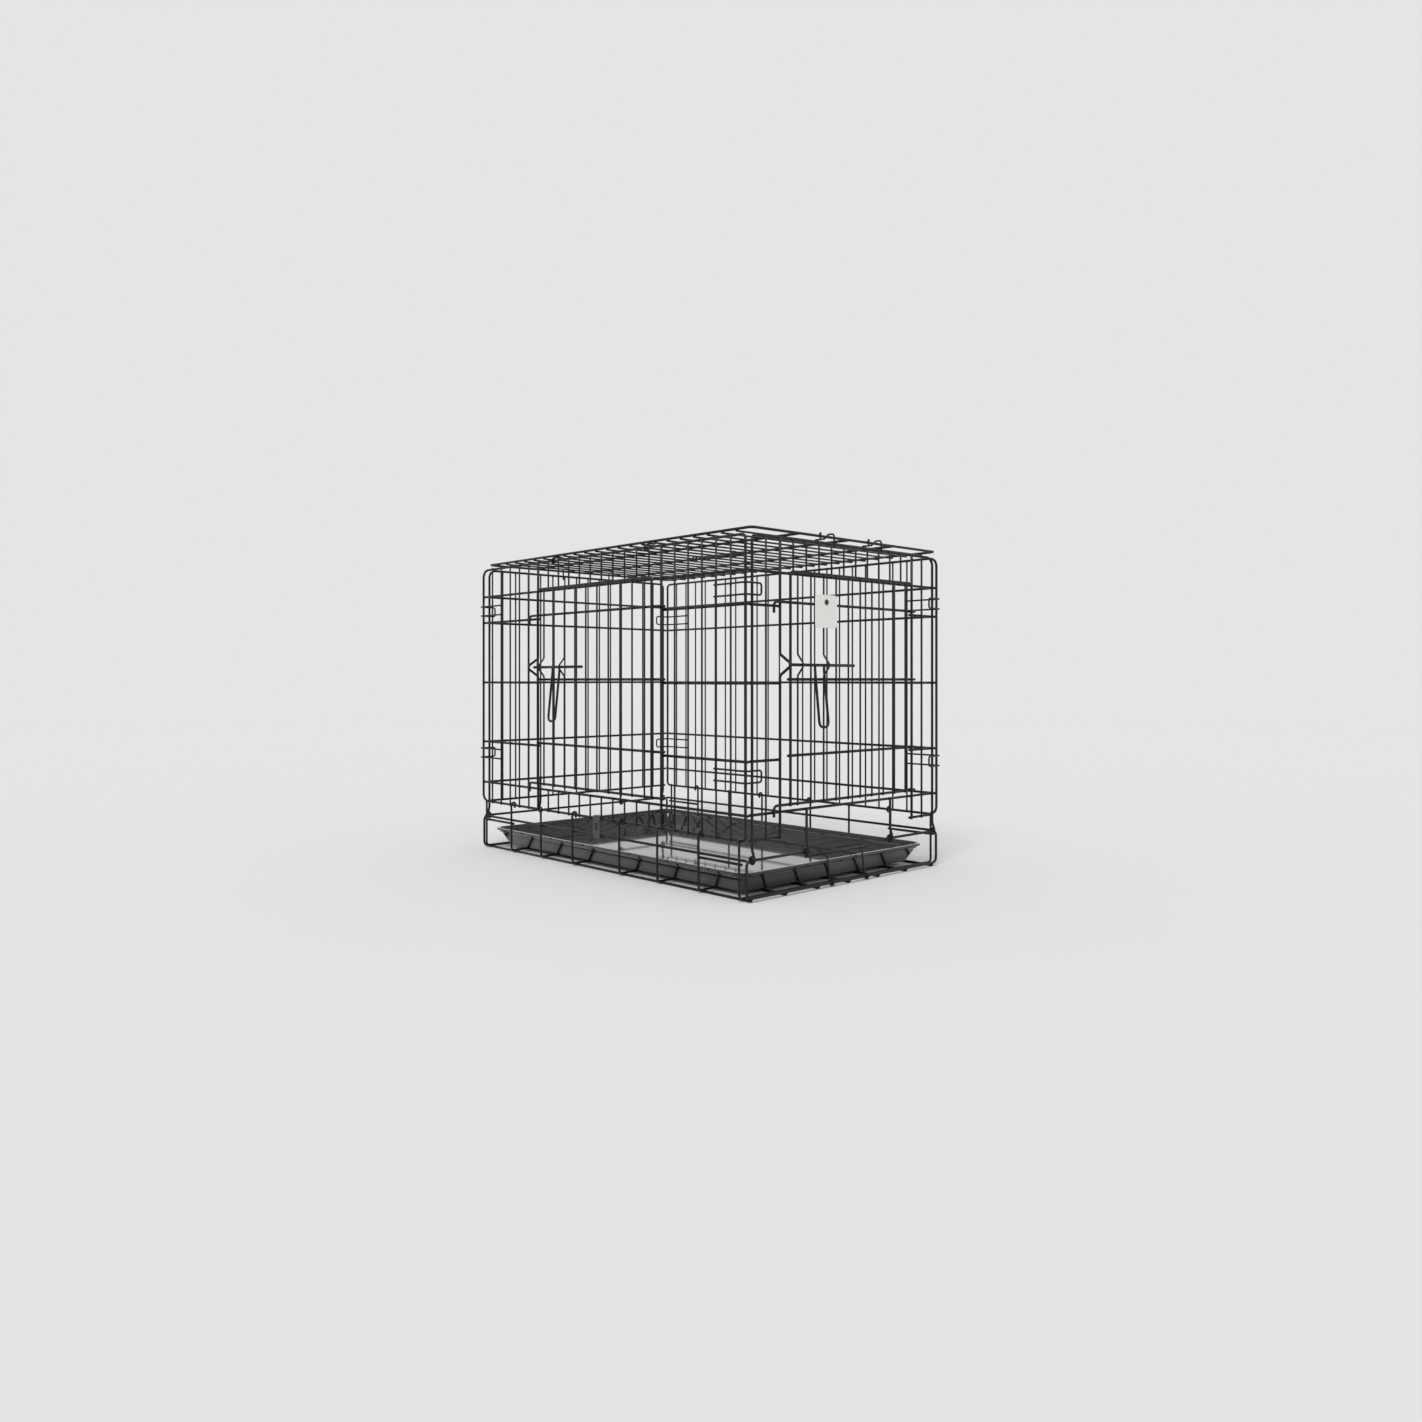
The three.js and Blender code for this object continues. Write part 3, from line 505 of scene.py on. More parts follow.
def wire_tree():
    """A node tree that gives drawn lines their wire, and loose points their weld flash."""
    tree = bpy.data.node_groups.get("Welded wires")
    if tree:
        return tree
    tree = bpy.data.node_groups.new("Welded wires", "GeometryNodeTree")
    make = tree.interface.new_socket
    make("Geometry", in_out="INPUT", socket_type="NodeSocketGeometry")
    make("Sides", in_out="INPUT", socket_type="NodeSocketInt")
    make("Weld sides", in_out="INPUT", socket_type="NodeSocketInt")
    make("Weld rings", in_out="INPUT", socket_type="NodeSocketInt")
    make("Material", in_out="INPUT", socket_type="NodeSocketMaterial")
    make("Geometry", in_out="OUTPUT", socket_type="NodeSocketGeometry")
    node = tree.nodes.new
    link = tree.links.new
    given = node("NodeGroupInput")
    size = node("GeometryNodeInputNamedAttribute")
    size.data_type = "FLOAT"
    size.inputs["Name"].default_value = "wire_radius"
    weld = node("GeometryNodeInputNamedAttribute")
    weld.data_type = "FLOAT_VECTOR"
    weld.inputs["Name"].default_value = "weld_scale"
    is_wire = node("FunctionNodeCompare")
    is_wire.operation = "GREATER_THAN"
    link(size.outputs["Attribute"], is_wire.inputs["A"])
    is_wire.inputs["B"].default_value = 0.0
    parts = node("GeometryNodeSeparateGeometry")
    parts.domain = "POINT"
    link(given.outputs["Geometry"], parts.inputs["Geometry"])
    link(is_wire.outputs["Result"], parts.inputs["Selection"])
    lines = node("GeometryNodeMeshToCurve")
    link(parts.outputs["Selection"], lines.inputs["Mesh"])
    section = node("GeometryNodeCurvePrimitiveCircle")
    section.inputs["Radius"].default_value = 1.0
    link(given.outputs["Sides"], section.inputs["Resolution"])
    tube = node("GeometryNodeCurveToMesh")
    link(lines.outputs["Curve"], tube.inputs["Curve"])
    link(section.outputs["Curve"], tube.inputs["Profile Curve"])
    link(size.outputs["Attribute"], tube.inputs["Scale"])
    tube.inputs["Fill Caps"].default_value = True
    bead = node("GeometryNodeMeshUVSphere")
    bead.inputs["Radius"].default_value = 1.0
    link(given.outputs["Weld sides"], bead.inputs["Segments"])
    link(given.outputs["Weld rings"], bead.inputs["Rings"])
    beads = node("GeometryNodeInstanceOnPoints")
    link(parts.outputs["Inverted"], beads.inputs["Points"])
    link(bead.outputs["Mesh"], beads.inputs["Instance"])
    link(weld.outputs["Attribute"], beads.inputs["Scale"])
    joined = node("GeometryNodeJoinGeometry")
    link(beads.outputs["Instances"], joined.inputs["Geometry"])
    link(tube.outputs["Mesh"], joined.inputs["Geometry"])
    real = node("GeometryNodeRealizeInstances")
    link(joined.outputs["Geometry"], real.inputs["Geometry"])
    smooth = node("GeometryNodeSetShadeSmooth")
    link(real.outputs["Geometry"], smooth.inputs["Geometry"])
    finish = node("GeometryNodeSetMaterial")
    link(smooth.outputs["Geometry"], finish.inputs["Geometry"])
    link(given.outputs["Material"], finish.inputs["Material"])
    result = node("NodeGroupOutput")
    link(finish.outputs["Geometry"], result.inputs["Geometry"])
    return tree


def set_input(modifier, name, value):
    """Set one named input of a node tree's modifier."""
    for item in modifier.node_group.interface.items_tree:
        if item.item_type == "SOCKET" and item.in_out == "INPUT" and item.name == name:
            modifier[item.identifier] = value


def new_object(name, mesh):
    """An object at the origin, in the scene."""
    obj = bpy.data.objects.new(name, mesh)
    bpy.context.scene.collection.objects.link(obj)
    return obj


def settle(obj):
    """Turn what the modifiers make into a plain mesh."""
    graph = bpy.context.evaluated_depsgraph_get()
    made = bpy.data.meshes.new_from_object(
        obj.evaluated_get(graph), preserve_all_data_layers=True, depsgraph=graph
    )
    drawn = obj.data
    obj.modifiers.clear()
    obj.data = made
    made.name = obj.name
    bpy.data.meshes.remove(drawn)
    return obj


def hand_over(obj, body, nodes=()):
    """Let a finished piece ride its body in place of the plain nodes it stands for."""
    if not obj.data.polygons:
        raise RuntimeError("nothing was made for " + obj.name)
    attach(obj, body)
    if nodes:
        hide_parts(*nodes)


def finish_wires(name, work, body, nodes=()):
    """Make a piece of wirework and hand it over."""
    mesh = bpy.data.meshes.new(name)
    mesh.from_pydata(work.points, work.edges, [])
    mesh.attributes.new("wire_radius", "FLOAT", "POINT").data.foreach_set("value", work.radii)
    flat = [value for scale in work.welds for value in scale]
    mesh.attributes.new("weld_scale", "FLOAT_VECTOR", "POINT").data.foreach_set("vector", flat)
    obj = new_object(name, mesh)
    modifier = obj.modifiers.new("Welded wires", "NODES")
    modifier.node_group = wire_tree()
    set_input(modifier, "Sides", settings("wires").sides)
    set_input(modifier, "Weld sides", 8)
    set_input(modifier, "Weld rings", 5)
    set_input(modifier, "Material", powder_coat())
    settle(obj)
    hand_over(obj, body, nodes)
    return obj


def corner_turn(start, corner, end, steps=7):
    """Stations round one bent corner, which may also change plane."""
    start, corner, end = Vector(start), Vector(corner), Vector(end)
    stations = []
    for step in range(steps + 1):
        share = step / steps
        stations.append(start * (1 - share) ** 2 + corner * 2 * share * (1 - share) + end * share ** 2)
    return stations


def eased(start, end, keep, steps=8):
    """Stations from start to end that leave and arrive along one axis."""
    start, end = Vector(start), Vector(end)
    stations = []
    for step in range(steps + 1):
        share = step / steps
        smooth = share * share * (3 - 2 * share)
        place = start.lerp(end, smooth)
        place[keep] = start[keep] + (end[keep] - start[keep]) * share
        stations.append(place)
    return stations


def bumped(along, out, low, high, reach):
    """Stations of an upright with an outward bump at the height of the bolts."""
    doors = settings("doors")
    bolt = BOLT_LINE.z
    return rounded([
        (along, out, low),
        (along, out, bolt - doors.bump_half),
        (along, -reach, bolt - doors.bump_flat),
        (along, -reach, bolt + doors.bump_flat),
        (along, out, bolt + doors.bump_half),
        (along, out, high),
    ], doors.bump_bend)


def keeper_reach():
    """From the hinge line out to the middle of a keeper bump."""
    wires, doors = settings("wires"), settings("doors")
    bolt_out = CENTRE.y - BOLT_LINE.y - FOLD_LINE
    return bolt_out + wires.bolt / 2 + doors.clearance + wires.frame / math.sqrt(3)


def side_grille(name, axes, body, node, doorway=None):
    """A side of the crate: a bent edge wire, rails inside and uprights outside."""
    walls, wires = settings("walls"), settings("wires")
    work = Wirework(axes, wall_place(axes))
    inner, outer, fine = frame_middle(), -frame_middle(), -fine_middle()
    over = walls.overhang
    half = side_length() / 2
    low, high = walls.hinge_rail, TOP_RAIL_HEIGHT
    bend = walls.corner_bend
    ring = corner_turn((-half, outer, low + bend), (-half, 0, low), (-half + bend, inner, low))
    ring += corner_turn((half - bend, inner, low), (half, 0, low), (half, outer, low + bend))
    ring += corner_turn((half, outer, high - bend), (half, 0, high), (half - bend, inner, high))
    ring += corner_turn((-half + bend, inner, high), (-half, 0, high), (-half, outer, high - bend))
    work.wire(ring, wires.frame, closed=True)
    rows = list(walls.rows)
    through = [walls.sill, walls.header]
    if doorway:
        latch, hinge = side_place(doorway[0]), side_place(doorway[1])
        for height in rows:
            work.rail(height, inner, -half - over, latch + over, wires.frame)
            work.rail(height, inner, hinge - over, half + over, wires.frame)
    else:
        through = [walls.sill] + rows + [walls.header]
    for height in through:
        work.rail(height, inner, -half - over, half + over, wires.frame)
    work.welds_at((-half, half), [walls.sill] + rows + [walls.header])
    for wire in range(1, walls.side_gaps):
        along = side_place(wire)
        if doorway and doorway[1] < wire < doorway[0]:
            work.upright(along, fine, walls.header - over, high + over, wires.fine)
            work.upright(along, fine, low - over, walls.sill + over, wires.fine)
            work.welds_at([along], [low, walls.sill, walls.header, high])
            continue
        if doorway and wire == doorway[0]:
            reach = keeper_reach() + frame_middle()
            work.wire(bumped(along, outer, low - over, high + over, reach), wires.frame)
        elif doorway and wire == doorway[1]:
            work.upright(along, outer, low - over, high + over, wires.frame)
        else:
            work.upright(along, fine, low - over, high + over, wires.fine)
        work.welds_at([along], [low, walls.sill] + rows + [walls.header, high])
    finish_wires(name, work, body, [node])


def fold_eye(along, outer, top):
    """Stations of an end wire that comes down and turns round the base's middle wire."""
    wires, doors = settings("wires"), settings("doors")
    radius = wires.frame + doors.clearance / 2
    middle = Vector((along, outer, BASE_MIDDLE_HEIGHT))
    start = middle + Z * radius * 4
    stations = [Vector((along, outer, top))] if top > start.z else []
    stations += eased(start, middle - Y * radius, 2)
    stations += curl(middle, radius, 0, -285, -Y, Z)[1:]
    return stations


def end_grille(name, axes, body, node, doorway=None):
    """An end of the crate, hung on the base by eyes on its edge wires and beside the doorway."""
    walls, wires = settings("walls"), settings("wires")
    work = Wirework(axes, wall_place(axes))
    inner, outer, fine = frame_middle(), -frame_middle(), -fine_middle()
    over, bend = walls.overhang, walls.corner_bend
    last = walls.end_gaps
    left, right = end_place(0), end_place(last)
    low, high = walls.hinge_rail, TOP_RAIL_HEIGHT
    edge = list(reversed(fold_eye(left, outer, low)))
    edge += corner_turn((left, outer, high - bend), (left, 0, high), (left + bend, inner, high))
    edge += corner_turn((right - bend, inner, high), (right, 0, high), (right, outer, high - bend))
    edge += fold_eye(right, outer, low)
    work.wire(edge, wires.frame)
    rows = list(walls.rows)
    whole = [walls.sill, walls.header]
    if doorway:
        latch, hinge = end_place(doorway[0]), end_place(doorway[1])
        for height in [low] + rows:
            work.rail(height, inner, left - over, latch + over, wires.frame)
            work.rail(height, inner, hinge - over, right + over, wires.frame)
    else:
        whole = [low, walls.sill] + rows + [walls.header]
    for height in whole:
        work.rail(height, inner, left - over, right + over, wires.frame)
    work.welds_at((left, right), [low, walls.sill] + rows + [walls.header])
    for wire in range(1, last):
        along = end_place(wire)
        in_doorway = doorway and doorway[0] < wire < doorway[1]
        if wire in walls.fold_eyes:
            work.wire(fold_eye(along, outer, walls.sill + over)[::-1], wires.frame)
            work.weld(along, walls.sill)
            if not doorway:
                work.weld(along, low)
        if in_doorway:
            work.upright(along, fine, walls.header - over, high + over, wires.fine)
            work.welds_at([along], [walls.header, high])
            continue
        bottom = walls.sill - over if wire in walls.fold_eyes else low - over
        if doorway and wire == doorway[0]:
            reach = keeper_reach() + frame_middle()
            work.wire(bumped(along, outer, bottom, high + over, reach), wires.frame)
        elif doorway and wire == doorway[1]:
            work.upright(along, outer, bottom, high + over, wires.frame)
        else:
            work.upright(along, fine, bottom, high + over, wires.fine)
        heights = [walls.sill] + rows + [walls.header, high]
        work.welds_at([along], heights if wire in walls.fold_eyes else [low] + heights)
    finish_wires(name, work, body, [node])


def door_places(axes):
    """Latch wire, hinge wire and wire spacing of the doorway in a wall."""
    walls = settings("walls")
    if axes == FRONT:
        return end_place(walls.front_doorway[0]), end_place(walls.front_doorway[1]), end_gap()
    return side_place(walls.side_doorway[0]), side_place(walls.side_doorway[1]), walls.spacing


def door_plane(axes):
    """Where a door's weld plane stands."""
    line = FOLD_LINE if axes == FRONT else SIDE_LINE
    return CENTRE - (axes @ Y) * (line + settings("doors").plane)


def door_grille(name, axes, body, node):
    """A door: one bent edge wire, uprights outside, and rails whose ends turn round the hinge wire."""
    walls, wires, doors = settings("walls"), settings("wires"), settings("doors")
    latch, hinge, gap = door_places(axes)
    work = Wirework(axes, door_plane(axes))
    inner, outer, fine = frame_middle(), -frame_middle(), -fine_middle()
    over = walls.overhang
    left, right = latch + doors.edge_inset, hinge - doors.edge_inset
    bottom, top = walls.sill + doors.bottom_lift, walls.header + doors.top_lift
    rails = [bottom] + [height + doors.row_lift for height in walls.rows]
    foot = bottom - over
    edge = [(left, outer, foot), (left, outer, top), (right, outer, top), (right, outer, foot)]
    work.wire(rounded(edge, doors.hook_bend), wires.frame)
    guide = keeper_reach() - wires.frame / math.sqrt(3) + wires.fine / math.sqrt(3) - doors.plane
    count = round((hinge - latch) / gap)
    for wire in range(1, count):
        along = latch + wire * gap
        if wire in doors.guides:
            work.wire(bumped(along, fine, bottom - over, top, guide), wires.fine)
        else:
            work.upright(along, fine, bottom - over, top, wires.fine)
        work.welds_at([along], rails)
        work.weld(along, top - wires.fine / 2, fine, 0.9, 1.2)
    radius = wires.frame + doors.clearance / 2
    for height in rails:
        hinge_middle = Vector((hinge, doors.plane, height))
        start = Vector((hinge - radius * 3, inner, height))
        turn = eased(start, hinge_middle - Y * radius, 0) + curl(hinge_middle, radius, 0, 262, -Y, X)[1:]
        if height in (rails[0], rails[-1]):
            tip = latch - doors.hook_reach
            hook = [(tip, inner, height - doors.hook_drop), (tip, inner, height), start]
            work.wire(rounded(hook, doors.hook_bend) + turn[1:], wires.frame)
        else:
            work.wire([(left - over, inner, height)] + turn, wires.frame)
        work.welds_at((left, right), [height])
    finish_wires(name, work, body, [node])


def slide_latch(side, axes, line, leaf_bodies, nodes):
    """A slide bolt, and the loop that hangs from it."""
    wires, latch_set, doors = settings("wires"), settings("latch"), settings("doors")
    latch, _, gap = door_places(axes)
    place = Vector((CENTRE.x, line.y, line.z)) if axes == FRONT else Vector((line.x, CENTRE.y, line.z))
    bolt = Wirework(axes, place)
    start = latch + latch_set.tip_gap
    bolt.wire([(start, 0, 0), (start + latch_set.length, 0, 0)], wires.bolt)
    finish_wires(side + "_slide_bolt", bolt, leaf_bodies[0], [nodes[0]])
    loop = Wirework(axes, place)
    right = latch + doors.guides[1] * gap - latch_set.loop_stop
    left = right - latch_set.loop_width
    neck = -wires.bolt / 2 + wires.sink
    drop, lean, foot = -latch_set.loop_drop, -latch_set.loop_lean, -latch_set.loop_neck
    loop.wire(rounded([
        (left, 0, neck), (left, 0, foot), (left, lean, drop),
        (right, lean, drop), (right, 0, foot), (right, 0, neck),
    ], latch_set.loop_width * 0.46), wires.loop)
    for along in (left, right):
        loop.weld(along, neck - wires.sink, 0, 1.1, 0.45)
    finish_wires(side + "_latch_loop", loop, leaf_bodies[1], [nodes[1]])


def base_frame():
    """The welded base: U wires that are posts and cross wires in one, rails, and the end wires."""
    walls, wires, base = settings("walls"), settings("wires"), settings("base")
    plane = SIDE_LINE - frame_middle() + 2 * wires.sink
    post = plane + frame_middle()
    rail = plane - frame_middle()
    hinge_rail = SIDE_LINE - 2 * frame_middle()
    over = walls.overhang
    work = Wirework(FRONT, CENTRE)
    thick = wires.frame - base.post_thinner
    floor = base.cross_height - wires.sink
    radius = wires.frame + wires.sink
    stations = [end * station * walls.spacing for station in base.posts for end in (-1, 1)]
    eye_stations = [end * base.posts[i] * walls.spacing for i in base.eyes for end in (-1, 1)]
    for along in stations:
        corners = [(-post, along, walls.hinge_rail), (-post, along, floor),
                   (post, along, floor), (post, along, walls.hinge_rail)]
        run = rounded(corners, base.post_bend)
        if along in eye_stations:
            near = curl((-hinge_rail, along, walls.hinge_rail), radius, 0, 255, -X, Z)
            far = curl((hinge_rail, along, walls.hinge_rail), radius, 0, 255, X, Z)
            run = near[::-1] + run[1:-1] + far
        else:
            run = [run[0] + Z * over] + run[1:-1] + [run[-1] + Z * over]
        work.wire(run, thick)
    width = walls.spacing * walls.end_gaps
    for i in range(base.long_wires):
        across = (2 * i / (base.long_wires - 1) - 1) * base.long_share * width
        run = [(across, -FOLD_LINE, wires.frame / 2), (across, FOLD_LINE, wires.frame / 2)]
        work.wire(run, wires.frame)
        work.stand(Matrix(((1, 0, 0), (0, 0, 1), (0, 1, 0))), CENTRE)
        for along in stations:
            work.weld(across, along, wires.frame - wires.sink)
        work.weld(across, -FOLD_LINE, wires.frame - wires.sink / 2)
        work.stand(FRONT, CENTRE)
    middle = BASE_MIDDLE_HEIGHT
    for axes in (NEAR, FAR):
        work.stand(axes, CENTRE)
        inward = -rail
        work.rail(middle, inward, -FOLD_LINE + wires.frame / 3, FOLD_LINE - wires.frame / 3, wires.frame)
        for end in (-1, 1):
            low, high = sorted((end * base.posts[2] * walls.spacing, end * base.posts[3] * walls.spacing))
            work.rail(middle - base.double_drop, inward, low - over, high + over, wires.frame)
            for along in (low, high):
                work.weld(along, middle - base.double_drop, -plane)
        for along in stations:
            work.weld(along, middle, -plane)
    corner = -end_place(0) + base.corner_reach
    work.stand(FRONT, CENTRE - Y * FOLD_LINE)
    gate_floor = GATE_LINE.z
    work.wire(rounded([
        (end_place(base.open_front[0]), 0, middle), (-corner, 0, middle), (-corner, 0, gate_floor),
        (corner, 0, gate_floor), (corner, 0, middle), (end_place(base.open_front[1]), 0, middle),
    ], base.corner_bend), wires.frame)
    work.stand(FRONT, CENTRE + Y * FOLD_LINE)
    back_floor = wires.frame / math.sqrt(3) + wires.sink / 2
    work.wire(rounded([
        (-corner, 0, middle), (corner, 0, middle), (corner, 0, back_floor), (-corner, 0, back_floor),
    ], base.corner_bend, closed=True), wires.frame, closed=True)
    finish_wires("base_frame", work, "base", [
        "base_floor_grid", "base_near_rail", "base_far_rail", "base_front_wire", "base_back_wire",
    ])


def roof_grille():
    """The roof: a bent edge wire and rails above fine cross wires, with its hinge loops and hooks."""
    walls, wires, roof = settings("walls"), settings("wires"), settings("roof")
    plane = roof.top - wires.frame
    work = Wirework(ROOF, CENTRE + Z * plane)
    upper, lower = frame_middle(), -fine_middle()
    half = side_length() / 2 - roof.inset
    hinge = CENTRE.x - joint_place("roof_swing").x
    near, far = roof.setback - hinge, hinge
    over = walls.overhang
    ring = [(-half, upper, near), (half, upper, near), (half, upper, far), (-half, upper, far)]
    work.wire(rounded(ring, roof.corner_bend, closed=True), wires.frame, closed=True)
    width = walls.spacing * walls.end_gaps
    lines = [near, far]
    for share in roof.rails:
        lines.append(share * width)
        work.rail(share * width, upper, -half, half, wires.frame)
    for wire in range(1, walls.side_gaps):
        along = side_place(wire)
        work.upright(along, lower, near - over, far + over, wires.fine)
        work.welds_at([along], lines)
    eye_height = TOP_RAIL_HEIGHT - plane
    radius = (wires.frame + wires.fine) / 2 + settings("doors").clearance / 2
    for end in (-1, 1):
        along = end * roof.loop_share * side_length()
        middle = Vector((along, eye_height, -hinge))
        arm = [(along, lower, near + roof.setback)]
        arm += eased((along, lower, near - wires.frame / 2), middle + Y * radius, 2)
        arm += curl(middle, radius, 90, -205, -Z, Y)[1:]
        work.wire(arm, wires.fine)
        work.weld(along, near)
    work.stand(FRONT, CENTRE)
    inner = side_place(1) - roof.hook_lead
    over_rail = roof.top + wires.fine
    low = plane + fine_middle()
    outer = FOLD_LINE + wires.frame / 2 + roof.hook_stand
    names = []
    for end, end_name in ((-1, "front"), (1, "back")):
        for i, wire in enumerate(roof.hook_wires):
            across = end_place(wire)
            hook = [
                (across, end * inner, low),
                (across, end * (half - roof.hook_rise), low),
                (across, end * (half - roof.hook_crest), over_rail),
                (across, end * outer, over_rail),
                (across, end * outer, over_rail - roof.hook_drop),
            ]
            work.wire(rounded(hook, roof.hook_bend), wires.fine)
            names.append("roof_hook_%s_%d" % (end_name, i + 1))
        names.append("roof_loop_" + end_name)
    for wire in roof.stub_wires:
        across = end_place(wire)
        beside = -half - wires.frame / 2 - wires.fine / 2 + wires.sink
        foot = (across, beside, plane - wires.fine)
        work.wire([foot, (across, beside, plane), (across, beside, roof.top + wires.fine)], wires.fine,
                  ball=wires.fine * 0.72)
        work.weld(across, plane + upper, beside + wires.fine / 2)
    finish_wires("roof_grille", work, "roof", ["roof_panel"] + names)


def clip_run(sides, height):
    """Stations of one clip: a leg out, round the end grille's edge, and a leg back below."""
    wires, clips = settings("wires"), settings("clips")
    side = SIDE_LINE + wires.frame / 2 + wires.fine / 2 + wires.sink
    end = FOLD_LINE + wires.frame / 2 + wires.fine / 2 + wires.sink * 2
    welded = clip_line()
    tip = -end_place(0) - clips.reach
    over, bend = settings("walls").overhang, clips.bend
    low = height - clips.spacing

    def spot(across, along, z):
        return Vector((sides[0] * across, sides[1] * along, z))

    legs = []
    for z in (height, low):
        leg = [spot(welded, side_place(2) - over, z)]
        leg += eased(spot(welded, side_place(1) + over, z), spot(side, side_place(0) - clips.ease, z), 1)
        leg += corner_turn(spot(side, end - bend, z), spot(side, end, z), spot(side - bend, end, z))
        legs.append(leg)
    turn = corner_turn(spot(tip + bend, end, height), spot(tip, end, height), spot(tip, end, height - bend))
    turn += corner_turn(spot(tip, end, low + bend), spot(tip, end, low), spot(tip + bend, end, low))
    return legs[0] + turn + legs[1][::-1]


def clip_line():
    """Where the clips' wires lie on the side uprights."""
    wires = settings("wires")
    return SIDE_LINE - frame_middle() + 2 * fine_middle() + wires.fine / 2


def corner_clips():
    """Fine wire clips on the side grilles that wrap round the folding ends."""
    wires, clips = settings("wires"), settings("clips")
    weld_line = clip_line() - wires.fine / 2
    work = Wirework(FRONT, CENTRE)
    nodes = []
    for side_sign, side_name in ((-1, "near"), (1, "far")):
        for end_sign, end_name in ((-1, "front"), (1, "back")):
            for level, height in zip(("upper", "lower"), clips.heights):
                work.wire(clip_run((side_sign, end_sign), height), wires.fine)
                work.stand(NEAR, CENTRE)
                for along in (side_place(2), side_place(1)):
                    for z in (height, height - clips.spacing):
                        work.weld(-end_sign * along, z, side_sign * weld_line, 0.8)
                work.stand(FRONT, CENTRE)
                nodes.append("corner_clip_%s_%s_%s" % (end_name, side_name, level))
    finish_wires("corner_clips", work, "base", nodes)


def tray_gate():
    """The gate that keeps the tray in: a bar on two leaning legs that turn on the front floor wire."""
    wires, gate, doors = settings("wires"), settings("gate"), settings("doors")
    work = Wirework(FRONT, (CENTRE.x, GATE_LINE.y, GATE_LINE.z))
    rise = gate.height - GATE_LINE.z
    work.wire([(end_place(end), gate.lean, rise) for end in gate.bar], wires.frame)
    radius = (wires.frame + wires.fine) / 2 + doors.clearance / 2
    front = gate.lean - wires.frame / 2 - wires.fine / 2 + wires.sink
    for place in gate.legs:
        across = end_place(place)
        top = Vector((across, front, rise + wires.frame / 2))
        foot = Vector((across, radius, 0))
        knee = Vector((across, radius + gate.knee_out, gate.knee_height))
        leg = [top] + corner_turn(top.lerp(knee, 0.85), knee, foot)
        leg += curl((across, 0, 0), radius, 0, -262, Y, Z)[1:]
        work.wire(leg, wires.fine)
        work.weld(across, rise, gate.lean - wires.frame / 2, 0.9)
    finish_wires("gate_wires", work, "gate", ["tray_gate"])


def sweep(bm, stations, radii, sides, closed=False):
    """A tube of given radii through stations, added to a mesh being built."""
    stations = [Vector(station) for station in stations]
    count = len(stations)
    rings = []
    normal = None
    for i, station in enumerate(stations):
        ahead = stations[(i + 1) % count] if closed or i < count - 1 else station
        behind = stations[i - 1] if closed or i > 0 else station
        along = (ahead - behind).normalized()
        if normal is None:
            normal = along.orthogonal().normalized()
        normal = (normal - along * normal.dot(along)).normalized()
        cross = along.cross(normal)
        ring = []
        for side in range(sides):
            turn = 2 * math.pi * side / sides
            offset = normal * math.cos(turn) + cross * math.sin(turn)
            ring.append(bm.verts.new(station + offset * radii[i]))
        rings.append(ring)
    pairs = list(zip(rings, rings[1:])) + ([(rings[-1], rings[0])] if closed else [])
    for low, high in pairs:
        for side in range(sides):
            after = (side + 1) % sides
            bm.faces.new((low[side], low[after], high[after], high[side]))
    if not closed:
        bm.faces.new(rings[0][::-1])
        bm.faces.new(rings[-1])


def rounded_ring(half_x, half_y, radius, steps):
    """One ring of a rounded rectangle about the middle."""
    points = []
    for quarter, (sign_x, sign_y) in enumerate(((1, 1), (-1, 1), (-1, -1), (1, -1))):
        for step in range(steps + 1):
            turn = (quarter + step / steps) * math.pi / 2
            points.append((
                sign_x * (half_x - radius) + radius * math.cos(turn),
                sign_y * (half_y - radius) + radius * math.sin(turn),
            ))
    return points


def finish_mesh(name, bm, material, smooth_angle=35.0):
    """A finished, outward facing mesh from a mesh being built."""
    bmesh.ops.recalc_face_normals(bm, faces=bm.faces[:])
    mesh = bpy.data.meshes.new(name)
    bm.to_mesh(mesh)
    bm.free()
    mesh.materials.append(material)
    mesh.shade_smooth()
    mesh.set_sharp_from_angle(angle=math.radians(smooth_angle))
    return new_object(name, mesh)


